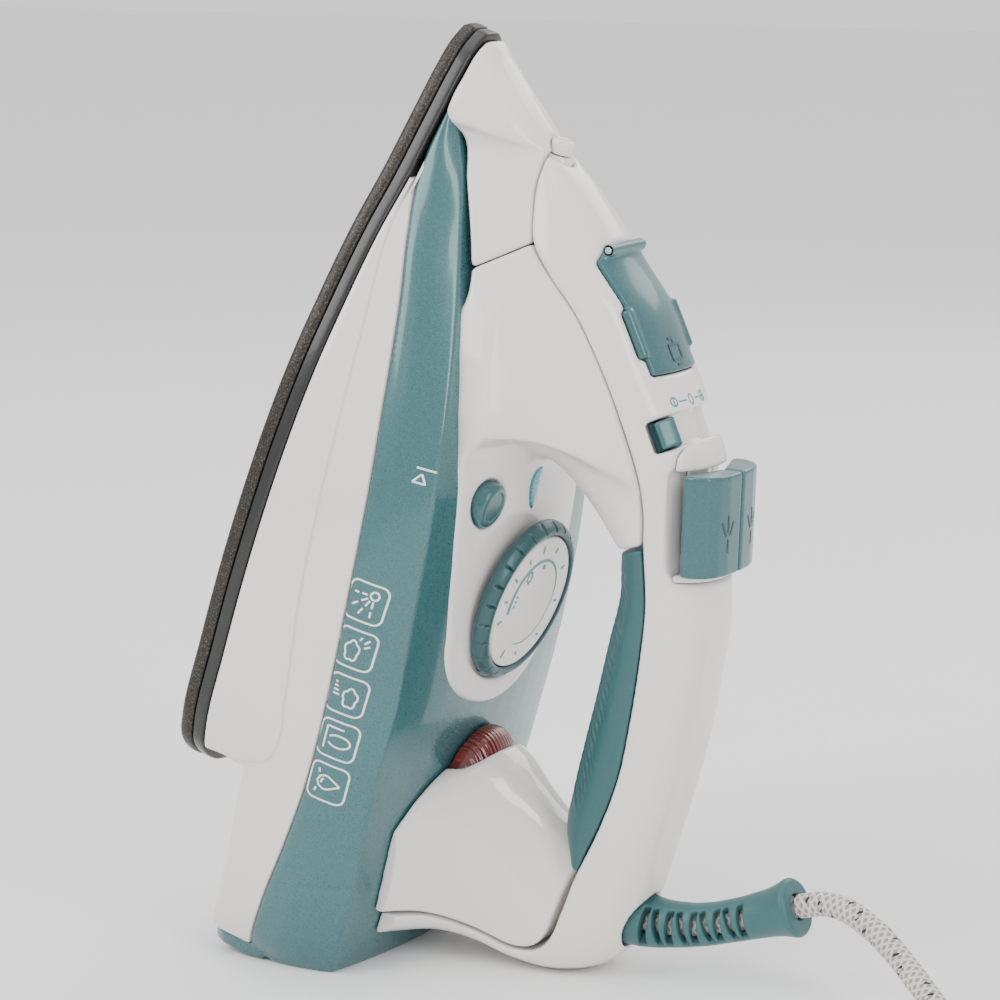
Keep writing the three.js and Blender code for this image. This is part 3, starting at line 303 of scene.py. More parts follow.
def lofted(name, rings, body="iron", matrix=IRON, sharp=40):
    """A closed loft as an object, its faces turned outwards."""
    points, quads, tris = loft_faces(np.asarray(rings, float))
    faces = [*quads, *tris]
    corner = points[np.vstack([tris, quads[:, :3], quads[:, [0, 2, 3]]])]
    volume = np.einsum("ij,ij->i", corner[:, 0], np.cross(corner[:, 1], corner[:, 2])).sum()
    if (volume < 0) != (matrix.determinant() < 0):
        faces = [f[::-1] for f in faces]
    return piece(name, points, faces, body, matrix, sharp)


def turned(name, profile, axis_matrix, count, body="iron"):
    """A piece of revolution: profile of [radius, height] about axis_matrix's z axis."""
    turn = around(count)
    rings = np.array([[[r * np.cos(a), r * np.sin(a), h] for a in turn] for r, h in profile])
    turn_to = np.array(axis_matrix)
    return lofted(name, rings @ turn_to[:3, :3].T + turn_to[:3, 3], body)


def tube(name, path, radius, sides):
    """A round tube along dense points of the row frame, with u round it and v along it."""
    tangent = np.gradient(path, axis=0)
    tangent /= np.linalg.norm(tangent, axis=1)[:, None]
    normal = np.cross(tangent[0], [0, 0, 1.0])
    normal = np.cross(tangent[0], [0, 1.0, 0]) if np.linalg.norm(normal) < 0.1 else normal
    frames = []
    for t in tangent:
        normal = normal - t * (normal @ t)
        normal /= np.linalg.norm(normal)
        frames.append((normal, np.cross(t, normal)))
    turn = around(sides)
    rings = np.array([p + radius * (np.cos(turn)[:, None] * n + np.sin(turn)[:, None] * b)
                      for p, (n, b) in zip(path, frames)])
    obj = lofted(name, rings, matrix=Matrix(), sharp=60)
    along = lengths(path)
    layer = obj.data.uv_layers.new(name="tube")
    count = len(path) * sides
    for loop in obj.data.polygons:
        ids = [obj.data.loops[k].vertex_index for k in loop.loop_indices]
        wrap = any(i % sides == 0 for i in ids) and any(i % sides == sides - 1 for i in ids)
        for k, i in zip(loop.loop_indices, ids):
            ring, side = (divmod(i, sides) if i < count else (0 if i == count else len(path) - 1, 0))
            u = side + (sides if wrap and side == 0 else 0)
            layer.data[k].uv = (u / sides, along[ring])
    return obj


# ---- camera, light and floor -------------------------------------------------------------
def stage():
    azimuth, elevation = math.radians(29.5), math.radians(11)
    back = Vector((math.sin(azimuth) * math.cos(elevation),
                   -math.cos(azimuth) * math.cos(elevation), math.sin(elevation)))
    middle = Vector((0, 0, 0.1466))
    camera = aimed("camera", bpy.data.cameras.new("camera"), middle + back, -back)
    camera.data.lens, camera.data.sensor_width = 115.2, 36
    camera.data.clip_start, camera.data.clip_end = 0.05, 20
    bpy.context.scene.camera = camera
    world = bpy.data.worlds.new("studio")
    bpy.context.scene.world = world
    world.use_nodes = True
    world.node_tree.nodes["Background"].inputs["Color"].default_value = (1, 1, 1, 1)
    world.node_tree.nodes["Background"].inputs["Strength"].default_value = 1.1
    for name, place, target, size, power in (
            ("key", (-0.75, -1.1, 1.15), (0, 0, 0.15), (0.9, 0.9), 13),
            ("side", (1.15, -0.55, 0.75), (0, 0, 0.15), (0.35, 1.0), 7),
            ("back", (0.2, 1.2, 1.0), (0, 0, 0.15), (1.0, 0.7), 6),
            ("top", (0, -0.1, 1.6), (0, 0, 0), (1.2, 1.2), 7)):
        lamp = bpy.data.lights.new(name, "AREA")
        lamp.shape, lamp.size, lamp.size_y, lamp.energy = "RECTANGLE", *size, power
        aimed(name, lamp, place, Vector(target) - Vector(place))
    mesh = bpy.data.meshes.new("floor")
    mesh.from_pydata([(-6, -6, 0), (6, -6, 0), (6, 6, 0), (-6, 6, 0)], [], [(0, 1, 2, 3)])
    floor = placed("floor", mesh)
    floor.data.materials.append(plain("floor", (0.93, 0.93, 0.93), 0.9, speck=0.004, scale=6))


# ---- materials ---------------------------------------------------------------------------
class Look:
    """A material, with short names for its nodes and links."""

    def __init__(self, name):
        self.material = bpy.data.materials.new(name)
        self.material.use_nodes = True
        tree = self.material.node_tree
        self.new, self.wire, self.bsdf = tree.nodes.new, tree.links.new, tree.nodes["Principled BSDF"]


def settings(node, **values):
    """Sets a node's inputs, named in lower case."""
    for name, value in values.items():
        node.inputs[name.replace("_", " ").title()].default_value = value


def noise(look, scale, detail=2.0):
    where = look.new("ShaderNodeTexCoord")
    node = look.new("ShaderNodeTexNoise")
    settings(node, scale=scale, detail=detail)
    look.wire(where.outputs["Object"], node.inputs["Vector"])
    return node.outputs["Fac"]


def ramp(look, source, stops):
    node = look.new("ShaderNodeValToRGB")
    elements = node.color_ramp.elements
    while len(elements) < len(stops):
        elements.new(0.5)
    for element, (spot, color) in zip(elements, stops):
        element.position, element.color = spot, (*color, 1)
    look.wire(source, node.inputs["Fac"])
    return node.outputs["Color"]


def uneven(look, source, rough, low, high, stops=(0.3, 0.7)):
    """Roughness that follows a pattern between two shares of its middle value."""
    tones = [(spot, (rough * share,) * 3) for spot, share in zip(stops, (low, high))]
    look.wire(ramp(look, source, tones), look.bsdf.inputs["Roughness"])


def bump(look, source, strength, distance):
    node = look.new("ShaderNodeBump")
    settings(node, strength=strength, distance=distance)
    look.wire(source, node.inputs["Height"])
    look.wire(node.outputs["Normal"], look.bsdf.inputs["Normal"])


def spread(color, share):
    return [tuple(min(1, c * k) for c in color) for k in (1 - share, 1 + share)]


def plain(name, color, rough, speck, scale, coat=0.0, grain=0.0, metallic=0.0):
    """Moulded plastic or plain metal: slow colour drift, uneven gloss and a fine grain."""
    look = Look(name)
    low, high = spread(color, speck)
    drift = ramp(look, noise(look, scale), [(0.3, low), (0.7, high)])
    look.wire(drift, look.bsdf.inputs["Base Color"])
    uneven(look, noise(look, scale * 2.7, 4), rough, 0.85, 1.15)
    settings(look.bsdf, metallic=metallic, coat_weight=coat, coat_roughness=0.06)
    if grain:
        bump(look, noise(look, 900, 3), grain, 0.0002)
    return look.material


def flake(name, color, rough, spark, coat, metallic):
    """Plastic with a fine metallic flake under a clear skin."""
    look = Look(name)
    where = look.new("ShaderNodeTexCoord")
    cells = look.new("ShaderNodeTexVoronoi")
    settings(cells, scale=3200)
    look.wire(where.outputs["Object"], cells.inputs["Vector"])
    low, high = spread(color, 0.3 * spark)
    bright = tuple(min(1, c * (1 + 1.6 * spark)) for c in color)
    grey = look.new("ShaderNodeRGBToBW")
    look.wire(cells.outputs["Color"], grey.inputs["Color"])
    fleck = ramp(look, grey.outputs["Val"], [(0.25, low), (0.6, high), (0.86, bright)])
    drift = ramp(look, noise(look, 25), [(0.3, (0.93,) * 3), (0.7, (1.0,) * 3)])
    mix = look.new("ShaderNodeMix")
    mix.data_type, mix.blend_type = "RGBA", "MULTIPLY"
    settings(mix, factor=1)
    look.wire(fleck, mix.inputs["A"])
    look.wire(drift, mix.inputs["B"])
    look.wire(mix.outputs["Result"], look.bsdf.inputs["Base Color"])
    uneven(look, grey.outputs["Val"], rough, 0.9, 1.2, (0.2, 0.8))
    settings(look.bsdf, metallic=metallic, coat_weight=coat, coat_roughness=0.08)
    return look.material


def sole_coat():
    """Dark non-stick coat with fine bronze specks."""
    look = Look("sole_coat")
    fine = noise(look, 2200, 3)
    color = ramp(look, fine, [
        (0.40, (0.022, 0.020, 0.018)), (0.58, (0.05, 0.045, 0.039)), (0.72, (0.15, 0.13, 0.11))])
    look.wire(color, look.bsdf.inputs["Base Color"])
    uneven(look, noise(look, 200), 1, 0.32, 0.44)
    settings(look.bsdf, metallic=0.55)
    bump(look, fine, 0.25, 0.0002)
    return look.material


def braid():
    """Braided white cotton with black flecks and painted shade in the gaps between threads, from the
    tube's own coordinates.
    """
    look = Look("braid")
    where = look.new("ShaderNodeTexCoord")
    split = look.new("ShaderNodeSeparateXYZ")
    look.wire(where.outputs["UV"], split.inputs["Vector"])

    def wave(round_count, along):
        a = maths(look, "MULTIPLY", split.outputs["X"], round_count * 2 * math.pi)
        b = maths(look, "MULTIPLY", split.outputs["Y"], along)
        return maths(look, "SINE", maths(look, "ADD", a, b))

    one, two = wave(6, 2600), wave(6, -2600)
    weave = maths(look, "MAXIMUM", one, two)
    # The thread colour darkens towards the gaps between threads, where the bump is lowest: painted
    # shade.
    thread_and_gap_shade = ramp(look, weave, [(0.0, (0.30, 0.28, 0.26)), (0.55, (0.66, 0.63, 0.59))])
    fleck = maths(look, "MULTIPLY", wave(1, 520), wave(1, -870))
    dark = maths(look, "MULTIPLY", maths(look, "GREATER_THAN", fleck, 0.72),
                 maths(look, "GREATER_THAN", one, 0.1))
    mix = look.new("ShaderNodeMix")
    mix.data_type = "RGBA"
    look.wire(dark, mix.inputs["Factor"])
    look.wire(thread_and_gap_shade, mix.inputs["A"])
    settings(mix, b=(0.018, 0.017, 0.017, 1))
    look.wire(mix.outputs["Result"], look.bsdf.inputs["Base Color"])
    settings(look.bsdf, roughness=0.85, sheen_weight=0.25)
    bump(look, weave, 0.6, 0.0003)
    return look.material


def maths(look, what, a, b=None):
    node = look.new("ShaderNodeMath")
    node.operation = what
    for k, value in enumerate((a, b)):
        if isinstance(value, (int, float)):
            node.inputs[k].default_value = value
        elif value is not None:
            look.wire(value, node.inputs[k])
    return node.outputs["Value"]


def lens_red():
    look = Look("lens_red")
    drift = ramp(look, noise(look, 160),
                 [(0.3, (0.10, 0.006, 0.004)), (0.7, (0.17, 0.013, 0.008))])
    look.wire(drift, look.bsdf.inputs["Base Color"])
    settings(look.bsdf, roughness=0.12, coat_weight=0.6, coat_roughness=0.05, subsurface_weight=0.25,
             subsurface_scale=0.004)
    return look.material


LOOKS = {
    "white": plain("white", (0.80, 0.765, 0.735), 0.22, 0.012, 30, coat=0.5),
    "gloss": plain("gloss", (0.80, 0.765, 0.735), 0.12, 0.012, 30, coat=0.9),
    "tank": flake("tank", (0.036, 0.128, 0.139), 0.3, 0.2, 0.7, 0.3),
    "teal": flake("teal", (0.034, 0.118, 0.128), 0.33, 0.16, 0.45, 0.3),
    "grip": flake("grip", (0.031, 0.108, 0.116), 0.45, 0.12, 0.1, 0.15),
    "guard": flake("guard", (0.034, 0.118, 0.125), 0.45, 0.12, 0.1, 0.15),
    "dial": flake("dial", (0.024, 0.085, 0.094), 0.4, 0.12, 0.2, 0.2),
    # leaf: a brighter copy of the tank's teal, which the pointer is made of; the extra brightness is
    # painted light.
    "leaf": flake("leaf", (0.10, 0.34, 0.36), 0.25, 0.2, 0.6, 0.2),
    "ink_white": plain("ink_white", (0.82, 0.84, 0.83), 0.4, 0.02, 120),
    "ink_teal": plain("ink_teal", (0.06, 0.27, 0.29), 0.4, 0.03, 120),
    "black": plain("black", (0.012, 0.012, 0.013), 0.3, 0.1, 200, coat=0.2, grain=0.15),
    "steel": plain("steel", (0.55, 0.55, 0.56), 0.3, 0.05, 300, metallic=1, grain=0.1),
    "brass": plain("brass", (0.62, 0.43, 0.17), 0.28, 0.06, 300, metallic=1, grain=0.1),
    "mould": plain("mould", (0.66, 0.64, 0.60), 0.5, 0.03, 200, grain=0.2),
    "sole": sole_coat(),
    "braid": braid(),
    "red": lens_red(),
}


def finish(obj, look, slot, *nodes):
    """Gives a piece its material and hides the CAD nodes it shows; the slot argument is not used."""
    obj.data.materials.clear()
    obj.data.materials.append(LOOKS[look])
    if nodes:
        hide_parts(*nodes)
    return obj


stage()


# ---- rings -------------------------------------------------------------------------------
def band(row, half, fullness, start=CLEAR / 2, inset=0.0):
    """A rounded band section from its flat seam side to its outer side."""
    ax, az, bx, bz = row[:4]
    reach = math.hypot(bx - ax, bz - az)
    turn = np.linspace(0, np.pi, 44)
    wide = np.sign(np.cos(turn)) * np.abs(np.cos(turn)) ** (2 / fullness)
    along = start / reach + (1 - (start + inset) / reach) * np.sin(turn) ** (2 / fullness)
    return np.stack([ax + (bx - ax) * along, (half - inset) * wide, az + (bz - az) * along], 1)


def section(x, half_points):
    """A ring across the iron from its right half, given bottom to top as [y, z]."""
    half = [(x, y, z) for y, z in half_points]
    return np.array(half + [(x, -y, z) for _, y, z in reversed(half)], float)


def shell_rings(start=CLEAR / 2, inset=0.0, grow=0.0):
    return [band(r, r[4] + grow, 2.35, start, inset) for r in curve(SHELL, 170)]


def shell_space(g):
    """The handle shell with the gap round it, for the covers that end at it."""
    return g.solid(shell_rings(start=-CLEAR / 2, grow=2))


def cover_rings():
    rings = []
    for x in np.linspace(229.4, 205.5, 24):
        foot, foot_z = at(COVER_FOOT, x), at(COVER_FOOT, x, 2) + 0.15
        rise = at(NOSE_RIDGE, x) - foot_z
        t = np.linspace(0, 1, 16)
        half = foot * np.sqrt(np.maximum(1 - t**1.7, 0)) + 0.2
        rings.append(section(x, list(zip(half, foot_z + rise * t))))
    for x in np.linspace(204.5, 127, 80):
        foot, foot_z = at(COVER_FOOT, x), at(COVER_FOOT, x, 2) + 0.15
        seam, seam_z = at(SEAM, x), at(SEAM, x, 2) - 0.15
        dip = np.clip((185 - x) / 40, 0, 1) * 2.5
        t = np.linspace(0, 1, 16)
        half = foot + (seam - foot) * t - dip * np.sin(np.pi * t)
        rings.append(section(x, list(zip(half, foot_z + (seam_z - foot_z) * t))))
    return rings


def tank_ring(x):
    foot, foot_z = at(TANK_FOOT, x), at(TANK_FOOT, x, 2) + 0.15
    crease, crease_z = at(CREASE, x), at(CREASE, x, 2)
    bottom = max(min(foot_z, 35.2), 19.6) if x < 192 else min(12.6, crease_z - 1.2)
    bottom = min(bottom, foot_z)
    step = min(3.3, foot * 0.2)
    strip = min(3.4, (crease_z - foot_z) * 0.3)
    side = [(foot - step, foot_z), (foot, foot_z + 0.05), (foot + 0.1, foot_z + strip)]
    for t in (0.25, 0.5, 0.75):
        z = foot_z + strip + (crease_z - foot_z - strip) * t
        side.append((foot + 0.55 + (crease - foot - 0.5) * t + 0.9 * math.sin(math.pi * t), z))
    top = [(crease * f, roof(x, crease * f)) for f in (1, 0.88, 0.72, 0.55, 0.36, 0.18, 0.02)]
    return section(x, [(foot * 0.5, bottom), (foot - 6, bottom), *side, *top])


# ---- white and teal shells ---------------------------------------------------------------
def under_floor(g):
    """Distance to the space under the floor that the iron stands on."""
    return (g.x * COS - g.z * SIN + FLOOR_RISE) * 1000


NOSE_SPLIT = [(152, 20), (182, 52), (182, 120), (260, 120), (260, -10), (140, -10)]
TOP = {"x": 119.5, "z": 127.5, "d": (-0.962, 0.272), "n": (0.272, 0.962)}
LEVER = {"x": 131.4, "z": 96.4, "d": (-0.76, 0.65), "n": (0.65, 0.76), "radius": 19.5}


def on_top(d, n):
    return (TOP["x"] + d * TOP["d"][0] + n * TOP["n"][0],
            TOP["z"] + d * TOP["d"][1] + n * TOP["n"][1])


def insert_shape(gap):
    return [on_top(-37 - gap, -2 - gap), on_top(-20, -8 - gap), on_top(18 + gap, -7.5 - gap),
            on_top(18 + gap, 20), on_top(-37 - gap, 20)]


def cap_shape(gap):
    return [(188 + gap, 70 - gap), (180.5, 70.5 - gap), (154 - gap, 93), (158.5 - gap, 104 + gap),
            (165, 112), (196 + gap, 84)]


def cap_zone(g, gap):
    return np.maximum(g.prism(cap_shape(gap)), np.abs(g.y) - CAP_HALF - gap)


def insert_zone(g, gap):
    return np.maximum(g.prism(insert_shape(gap)), np.abs(g.y) - INSERT_HALF - gap)


def nozzle_space(g):
    """The bore that the spray nozzle and its collar sit in."""
    return np.minimum(g.rod((196, 0, NOZZLE_Z), (204.6, 0, NOZZLE_Z), 4.9),
                      g.rod((204, 0, NOZZLE_Z), (214, 0, NOZZLE_Z), 3.9))


def button_rings(side, grow=0.0, sink=0.0):
    half = [(0.4 - grow, 0.4 - sink), (16 + grow, -4.5 - sink), (18 + grow, -4 - sink),
            (18.4 + grow, -0.5), (16 + grow, 3.6 + grow), (12.5 + grow, 5.8 + grow),
            (8, 6.9 + grow), (0.4 - grow, 7.3 + grow)]
    return [[(x, side * y, z) for y, n in half for x, z in [on_top(d, n)]]
            for d in (-15.5 - grow, 15.5 + grow)]


def button_pockets(g):
    """The space that the two buttons sink into."""
    left, right = (g.solid(button_rings(side, CLEAR, BUTTON_SINK)) for side in (1, -1))
    return np.minimum(left, right)


def lever_polar(g):
    """Distance along the lever's pivot line, radius from it and angle round it."""
    d = (g.x - LEVER["x"]) * LEVER["d"][0] + (g.z - LEVER["z"]) * LEVER["d"][1]
    n = (g.x - LEVER["x"]) * LEVER["n"][0] + (g.z - LEVER["z"]) * LEVER["n"][1]
    return d, np.sqrt(n**2 + g.y**2), np.arctan2(np.broadcast_to(g.y, g.shape), n)


def lever_space(g):
    """The slot that the lever's foot swings in."""
    d, radius, angle = lever_polar(g)
    return np.maximum(np.maximum(np.abs(d) - 4.9, LEVER["radius"] - 2.3 - radius),
                      (np.abs(angle) - math.radians(56)) * 20)


def make_handle():
    g = Grid((-48, -34, 39), (208, 34, 148), 0.6)
    shell = g.solid(shell_rings())
    body = cut(shell, insert_zone(g, CLEAR), button_pockets(g), lever_space(g), cap_zone(g, CLEAR),
               cap_tabs(g, CLEAR))
    guard = g.rod((-16.5, 0, 126), (-9, 0, 154), 9.4)
    screw = g.rod((-48, 0, 97.5), (-37.5, 0, 97.5), 4)
    body = cut(body, nozzle_space(g), guard, screw, under_floor(g),
               g.z - roof(g.x, g.y) - CLEAR)
    finish(g.mesh("handle_shell_skin", soften(body)), "white", "white_shell", "handle_shell")
    g = Grid((96, -20, 96), (166, 20, 146), 0.45)
    shell = g.solid(shell_rings())
    insert = cut(np.maximum(shell, insert_zone(g, 0)), button_pockets(g), lever_space(g))
    finish(g.mesh("control_panel_skin", soften(insert)), "white", "white_shell", "control_panel")


def cap_tabs(g, grow=0.0):
    """The finger tabs at both sides of the cap's lower end."""
    return np.minimum(*[g.rod((172, side * 14.6, 84.6), (160.6, side * 14.6, 94.8), 1.8 + grow)
                        for side in (1, -1)])


def make_cap():
    g = Grid((148, -20, 64), (200, 20, 112), 0.4)
    outer = g.solid(shell_rings())
    inner = g.solid(shell_rings(inset=3.2))
    cap = np.maximum(cut(outer, inner), cap_zone(g, 0))
    keep = [(193.6, 77.8), (177.6, 65.4), (140, 80), (150, 125), (200, 110)]
    cap = np.maximum(cap, g.prism(keep))
    knuckle, bore = (g.rod((CAP_PIN_X, -end, CAP_PIN_Z), (CAP_PIN_X, end, CAP_PIN_Z), radius)
                     for end, radius in ((11.5, 2.1), (15, 1.4)))
    cap = join(cut(join(cap, knuckle, 1.0), bore), cap_tabs(g), 0.8)
    along_y = (Matrix.Translation((CAP_PIN_X, 0, CAP_PIN_Z))
               @ Matrix.Rotation(math.radians(90), 4, "X"))
    pin = [(0.2, -11.2), (0.9, -11.2), (1.1, -11), (1.1, 11), (0.9, 11.2), (0.2, 11.2)]
    finish(turned("cap_pin_rod", pin, along_y, 32), "steel", "steel", "cap_hinge_pin")
    return finish(g.mesh("filler_cap_skin", soften(cap), "cap"), "teal", "button_teal", "filler_cap")


def plate_outline():
    """The dial panel's outline seen from above."""
    rows = [(190, 20), (176.5, 26), (161, 31), (145, 36), (129, 39), (110, 39.5), (91, 39),
            (72, 37)]
    turn = np.linspace(np.pi / 2, 3 * np.pi / 2, 25)
    tip = [(59 + 27 * math.cos(a), 34.5 * math.sin(a)) for a in turn]
    return [*rows, *tip, *[(x, -y) for x, y in reversed(rows)]]


def plate_field(g):
    """The dial panel's plate, lifted over the tank's roof."""
    side = polygon_distance(g.x, g.y, plate_outline())
    lift = np.interp(np.abs(g.y), [0, 14, 28, 41], [1.75, 1.6, 1.2, 0.3])
    top = (g.z - roof(g.x, g.y) - lift) * 0.92
    edge = -join(-side, -top, 2.2)
    return np.maximum(np.maximum(edge, -top - 4.5), g.x - 150)


def make_covers():
    g = Grid((124, -42, 7), (233, 42, 112), 0.6)
    cover = g.solid(cover_rings())
    nose = cut(np.maximum(cover, g.prism(NOSE_SPLIT) + CLEAR / 2), shell_space(g), nozzle_space(g))
    finish(g.mesh("nose_cover_skin", soften(nose)), "white", "white_shell", "nose_cover")
    g = Grid((26, -44, 30), (188, 44, 118), 0.7)
    cover = np.maximum(g.solid(cover_rings(), 20), -g.prism(NOSE_SPLIT) + CLEAR / 2)
    column = g.solid([band(r, r[4], 2.6) for r in curve(COLUMN, 40)], 20)
    panel = join(join(cover, column, 8), plate_field(g), 20)
    panel = np.maximum(panel, polygon_distance(g.x, g.y, plate_outline()) - 0.1)
    panel = np.maximum(panel, -g.prism(NOSE_SPLIT) + CLEAR / 2)
    dial = g.rod((DIAL_X, 0, DIAL_FOOT - 0.3), (DIAL_X, 0, 96), DIAL_R + 0.8)
    button = g.rod((CLEAN[0], CLEAN[1], 60.5), (CLEAN[0], CLEAN[1], 90), 7.6)
    panel = cut(panel, shell_space(g), dial, button)
    finish(g.mesh("dial_panel_skin", soften(panel)), "white", "white_shell", "dial_panel")


def leaf_outline(grow):
    """The pointer's leaf shape, pointed at the dial."""
    long, wide = 7 + grow, 3 + grow
    return [(103.5 + long * math.cos(a), wide * math.sin(a) * (1 + 0.3 * math.cos(a)))
            for a in around(60)]


def wide_band(ax, az, bx, bz, half):
    """A handle shell section carried past its seam, its outer side and its flanks."""
    seam = (ax - (bx - ax) / 9, az - (bz - az) / 9)
    return band((*seam, bx * 1.4 - ax * 0.4, bz * 1.4 - az * 0.4), half + 6, 4, -CLEAR)


def make_rear_column():
    g = Grid((-46, -38, 64), (24, 38, 127), 0.5)
    column = g.solid([band((rear + 0.15, z, front, z), half, 2.3, 0)
                      for z, rear, front, half in curve(REAR, 60)])
    tank = g.z - roof(g.x, g.y) - CLEAR
    shell = g.solid([wide_band(*r) for r in curve(SHELL, 170)[110:]])
    grip = g.solid([band(r, r[4] + 2, 2.3) for r in curve(GRIP, 90)])
    body = cut(np.maximum(column, -tank), shell)
    body = cut(body, grip, lens_field(g), gap=0.15)
    finish(g.mesh("rear_column_skin", soften(body)), "gloss", "gloss_white", "rear_column")


def make_grip():
    g = Grid((-4, -20, 99), (110, 20, 131), 0.45)
    body = g.solid([band(r, r[4], 2.3) for r in curve(GRIP, 110)])
    seam = curve(GRIP, 200)
    seam_z = np.interp(g.x, seam[::-1, 0], seam[::-1, 1])
    inner_z = np.interp(g.x, seam[::-1, 2], seam[::-1, 3])
    depth = (seam_z - g.z) / (seam_z - inner_z)
    ribbed = np.clip((depth - 0.5) / 0.12, 0, 1) * np.clip((g.x - 16) / 8, 0, 1)
    ribbed = ribbed * np.clip((97 - g.x) / 8, 0, 1)
    wave = np.cos(2 * np.pi * (g.x + 0.55 * (g.z - 108) + 0.25 * np.abs(g.y)) / 3.2)
    body = body + ribbed * np.clip(0.5 + 0.7 * wave, 0, 1)
    finish(g.mesh("grip_skin", soften(body, 1)), "grip", "grip_teal", "grip")


def make_tank():
    g = Grid((-68, -62, 7), (212, 62, 76), 0.7)
    body = g.solid([tank_ring(x) for x in np.linspace(-62, 209, 170)])
    lip = g.solid([section(-65.5, [(44.5, 24.2), (46.5, 28), (46.5, 44)]),
                   section(-59.7, [(47, 24.2), (49, 28), (49, 44)])])
    body = cut(np.minimum(body, lip), under_floor(g))
    groove = np.abs((g.x + 31 - (g.z - 46) * 0.3) * 0.95) - 0.55
    groove = np.maximum(groove, np.abs(g.z - 60) - 14)
    groove = np.maximum(groove, 49.6 - np.abs(g.y))
    body = np.maximum(body, np.where(groove < 1, -groove - 0.25, -3))
    finish(g.mesh("tank_skin", soften(body, 1)), "tank", "tank_teal", "water_tank")


# ---- skirt and sole ----------------------------------------------------------------------
def skirt_half(x, z):
    foot = at(SOLE, max(x, 0)) - 1.4 - max(0, -x) * 0.1
    top, top_z = at(TANK_FOOT, x), at(TANK_FOOT, x, 2)
    return foot + (top - foot) * min(max((z - 9) / max(top_z - 9, 0.6), 0), 1)


def wall_rings(stations, low, high, proud):
    rings = []
    for x in stations:
        z0, z1 = low(x), max(high(x), low(x) + 0.3)
        zs = [z0 + 0.05, z0 + 0.3, *np.linspace(z0 + 1, max(z1 - 0.8, z0 + 1.1), 5), z1 - 0.2, z1]
        pull = [0.9, 0.25, 0, 0, 0, 0, 0, 0.15, 0.55]
        rings.append(section(x, [(skirt_half(x, z) + proud - p, z) for z, p in zip(zs, pull)]))
    return rings


def skirt_low(x):
    return at(SKIRT_LOW, x) if x < 0 else 10.5


def make_skirt():
    shield = wall_rings(np.r_[np.linspace(0, 12, 16), np.linspace(16, 187, 62)],
                        lambda x: 9.3, lambda x: at(SHIELD_TOP, x), 0.8)
    finish(lofted("heat_shield_skin", shield, sharp=35), "white", "white_shell", "heat_shield")
    skirt = wall_rings(np.r_[-59.4, -59.0, np.linspace(-57, -0.5, 30), np.linspace(1, 196, 74)],
                       skirt_low, lambda x: at(TANK_FOOT, x, 2) - 0.15, 0)
    finish(lofted("upper_skirt_skin", skirt, sharp=35), "white", "white_shell", "upper_skirt")


def sole_outline(inset):
    """The soleplate's outline moved inwards along its own normals."""
    half = curve(SOLE, 150)
    half[0, 0] = -9.5
    nose = [(231 + 0.9 * math.sin(a), 5 * math.cos(a)) for a in np.linspace(0.5, np.pi / 2, 6)]
    side = np.vstack([[(-9.5, y) for y in np.linspace(0, 38, 12)], half, nose])
    slope = np.gradient(side, axis=0)
    normal = np.stack([-slope[:, 1], slope[:, 0]], 1)
    normal /= np.maximum(np.linalg.norm(normal, axis=1), 1e-9)[:, None]
    moved = side - normal * inset
    moved = moved[moved[:, 1] >= 0]
    return np.vstack([moved, moved[::-1] * (1, -1)])


def plate_rings(steps):
    rings = []
    for inset, z in steps:
        line = sole_outline(inset)
        t = lengths(line)
        s = np.linspace(0, t[-1], 420, endpoint=False)
        ring = np.stack([np.interp(s, t, line[:, 0]), np.interp(s, t, line[:, 1])], 1)
        rings.append(np.column_stack([ring, np.full(len(ring), z)]))
    return rings


def make_sole():
    steps = [(2.2, 0), (1.2, 0.05), (0.5, 0.4), (0.1, 1.1), (0, 1.8), (0, 3.2), (0.2, 4.0),
             (0.7, 4.5), (1.6, 4.6), (3, 4.6)]
    sole = lofted("soleplate_casting", plate_rings(steps), sharp=50)
    finish(sole, "sole", "soleplate", "soleplate")
    for k, (x, y) in enumerate([(30, 22), (60, 30), (90, 26), (120, 18), (150, 9)]):
        for side in (1, -1):
            name = f"steam_port_{k}_{'left' if side > 0 else 'right'}"
            spot = Matrix.Translation((x, side * y, 0))
            # Each black disc stands in for the shade inside a steam hole, which the sole casting does
            # not have: painted shade.
            port_shade_disc = [(0.2, -0.08), (2.2, -0.08), (2.3, 0.1), (2.3, 0.4), (0.2, 0.4)]
            finish(turned(name, port_shade_disc, spot, 32), "black", "soleplate")
            rim = [(2.25, -0.02), (2.4, -0.14), (2.9, -0.12), (3.3, 0.02), (3.3, 0.4), (2.25, 0.4)]
            finish(turned(f"{name}_rim", rim, spot, 32), "steel", "soleplate")
    band_steps = [(1.2, 4.9), (0.6, 5.2), (0.5, 5.8), (0.5, 8.1), (0.6, 8.7), (1.1, 9.0), (3, 9.0)]
    finish(lofted("sole_band_ring", plate_rings(band_steps), sharp=50), "black", "black_band",
           "sole_band")


# ---- controls ----------------------------------------------------------------------------
def make_buttons():
    for side, name, body in ((1, "spray_button", "spray"), (-1, "burst_button", "burst")):
        g = Grid((96, -22, 116), (146, 22, 148), 0.4)
        button = g.solid(button_rings(side))
        finish(g.mesh(f"{name}_key", soften(button, 3), body), "teal", "button_teal", name)


def make_lever():
    g = Grid((128, -22, 96), (160, 22, 128), 0.35)
    d, radius, angle = lever_polar(g)
    angle, radius = np.degrees(angle), radius - LEVER["radius"]
    foot = np.maximum(np.abs(radius + 1) - 1, (np.abs(angle - 39.5) - 13.5) * 0.33)
    fin = np.maximum(np.abs(radius - 1.8) - 2.9, (np.abs(angle - 42) - 7.5) * 0.36)
    lever = join(np.maximum(foot, np.abs(d) - 4.6), np.maximum(fin, np.abs(d) - 4.2), 1.2)
    finish(g.mesh("steam_lever_fin", soften(lever), "lever"), "teal", "button_teal", "steam_lever")


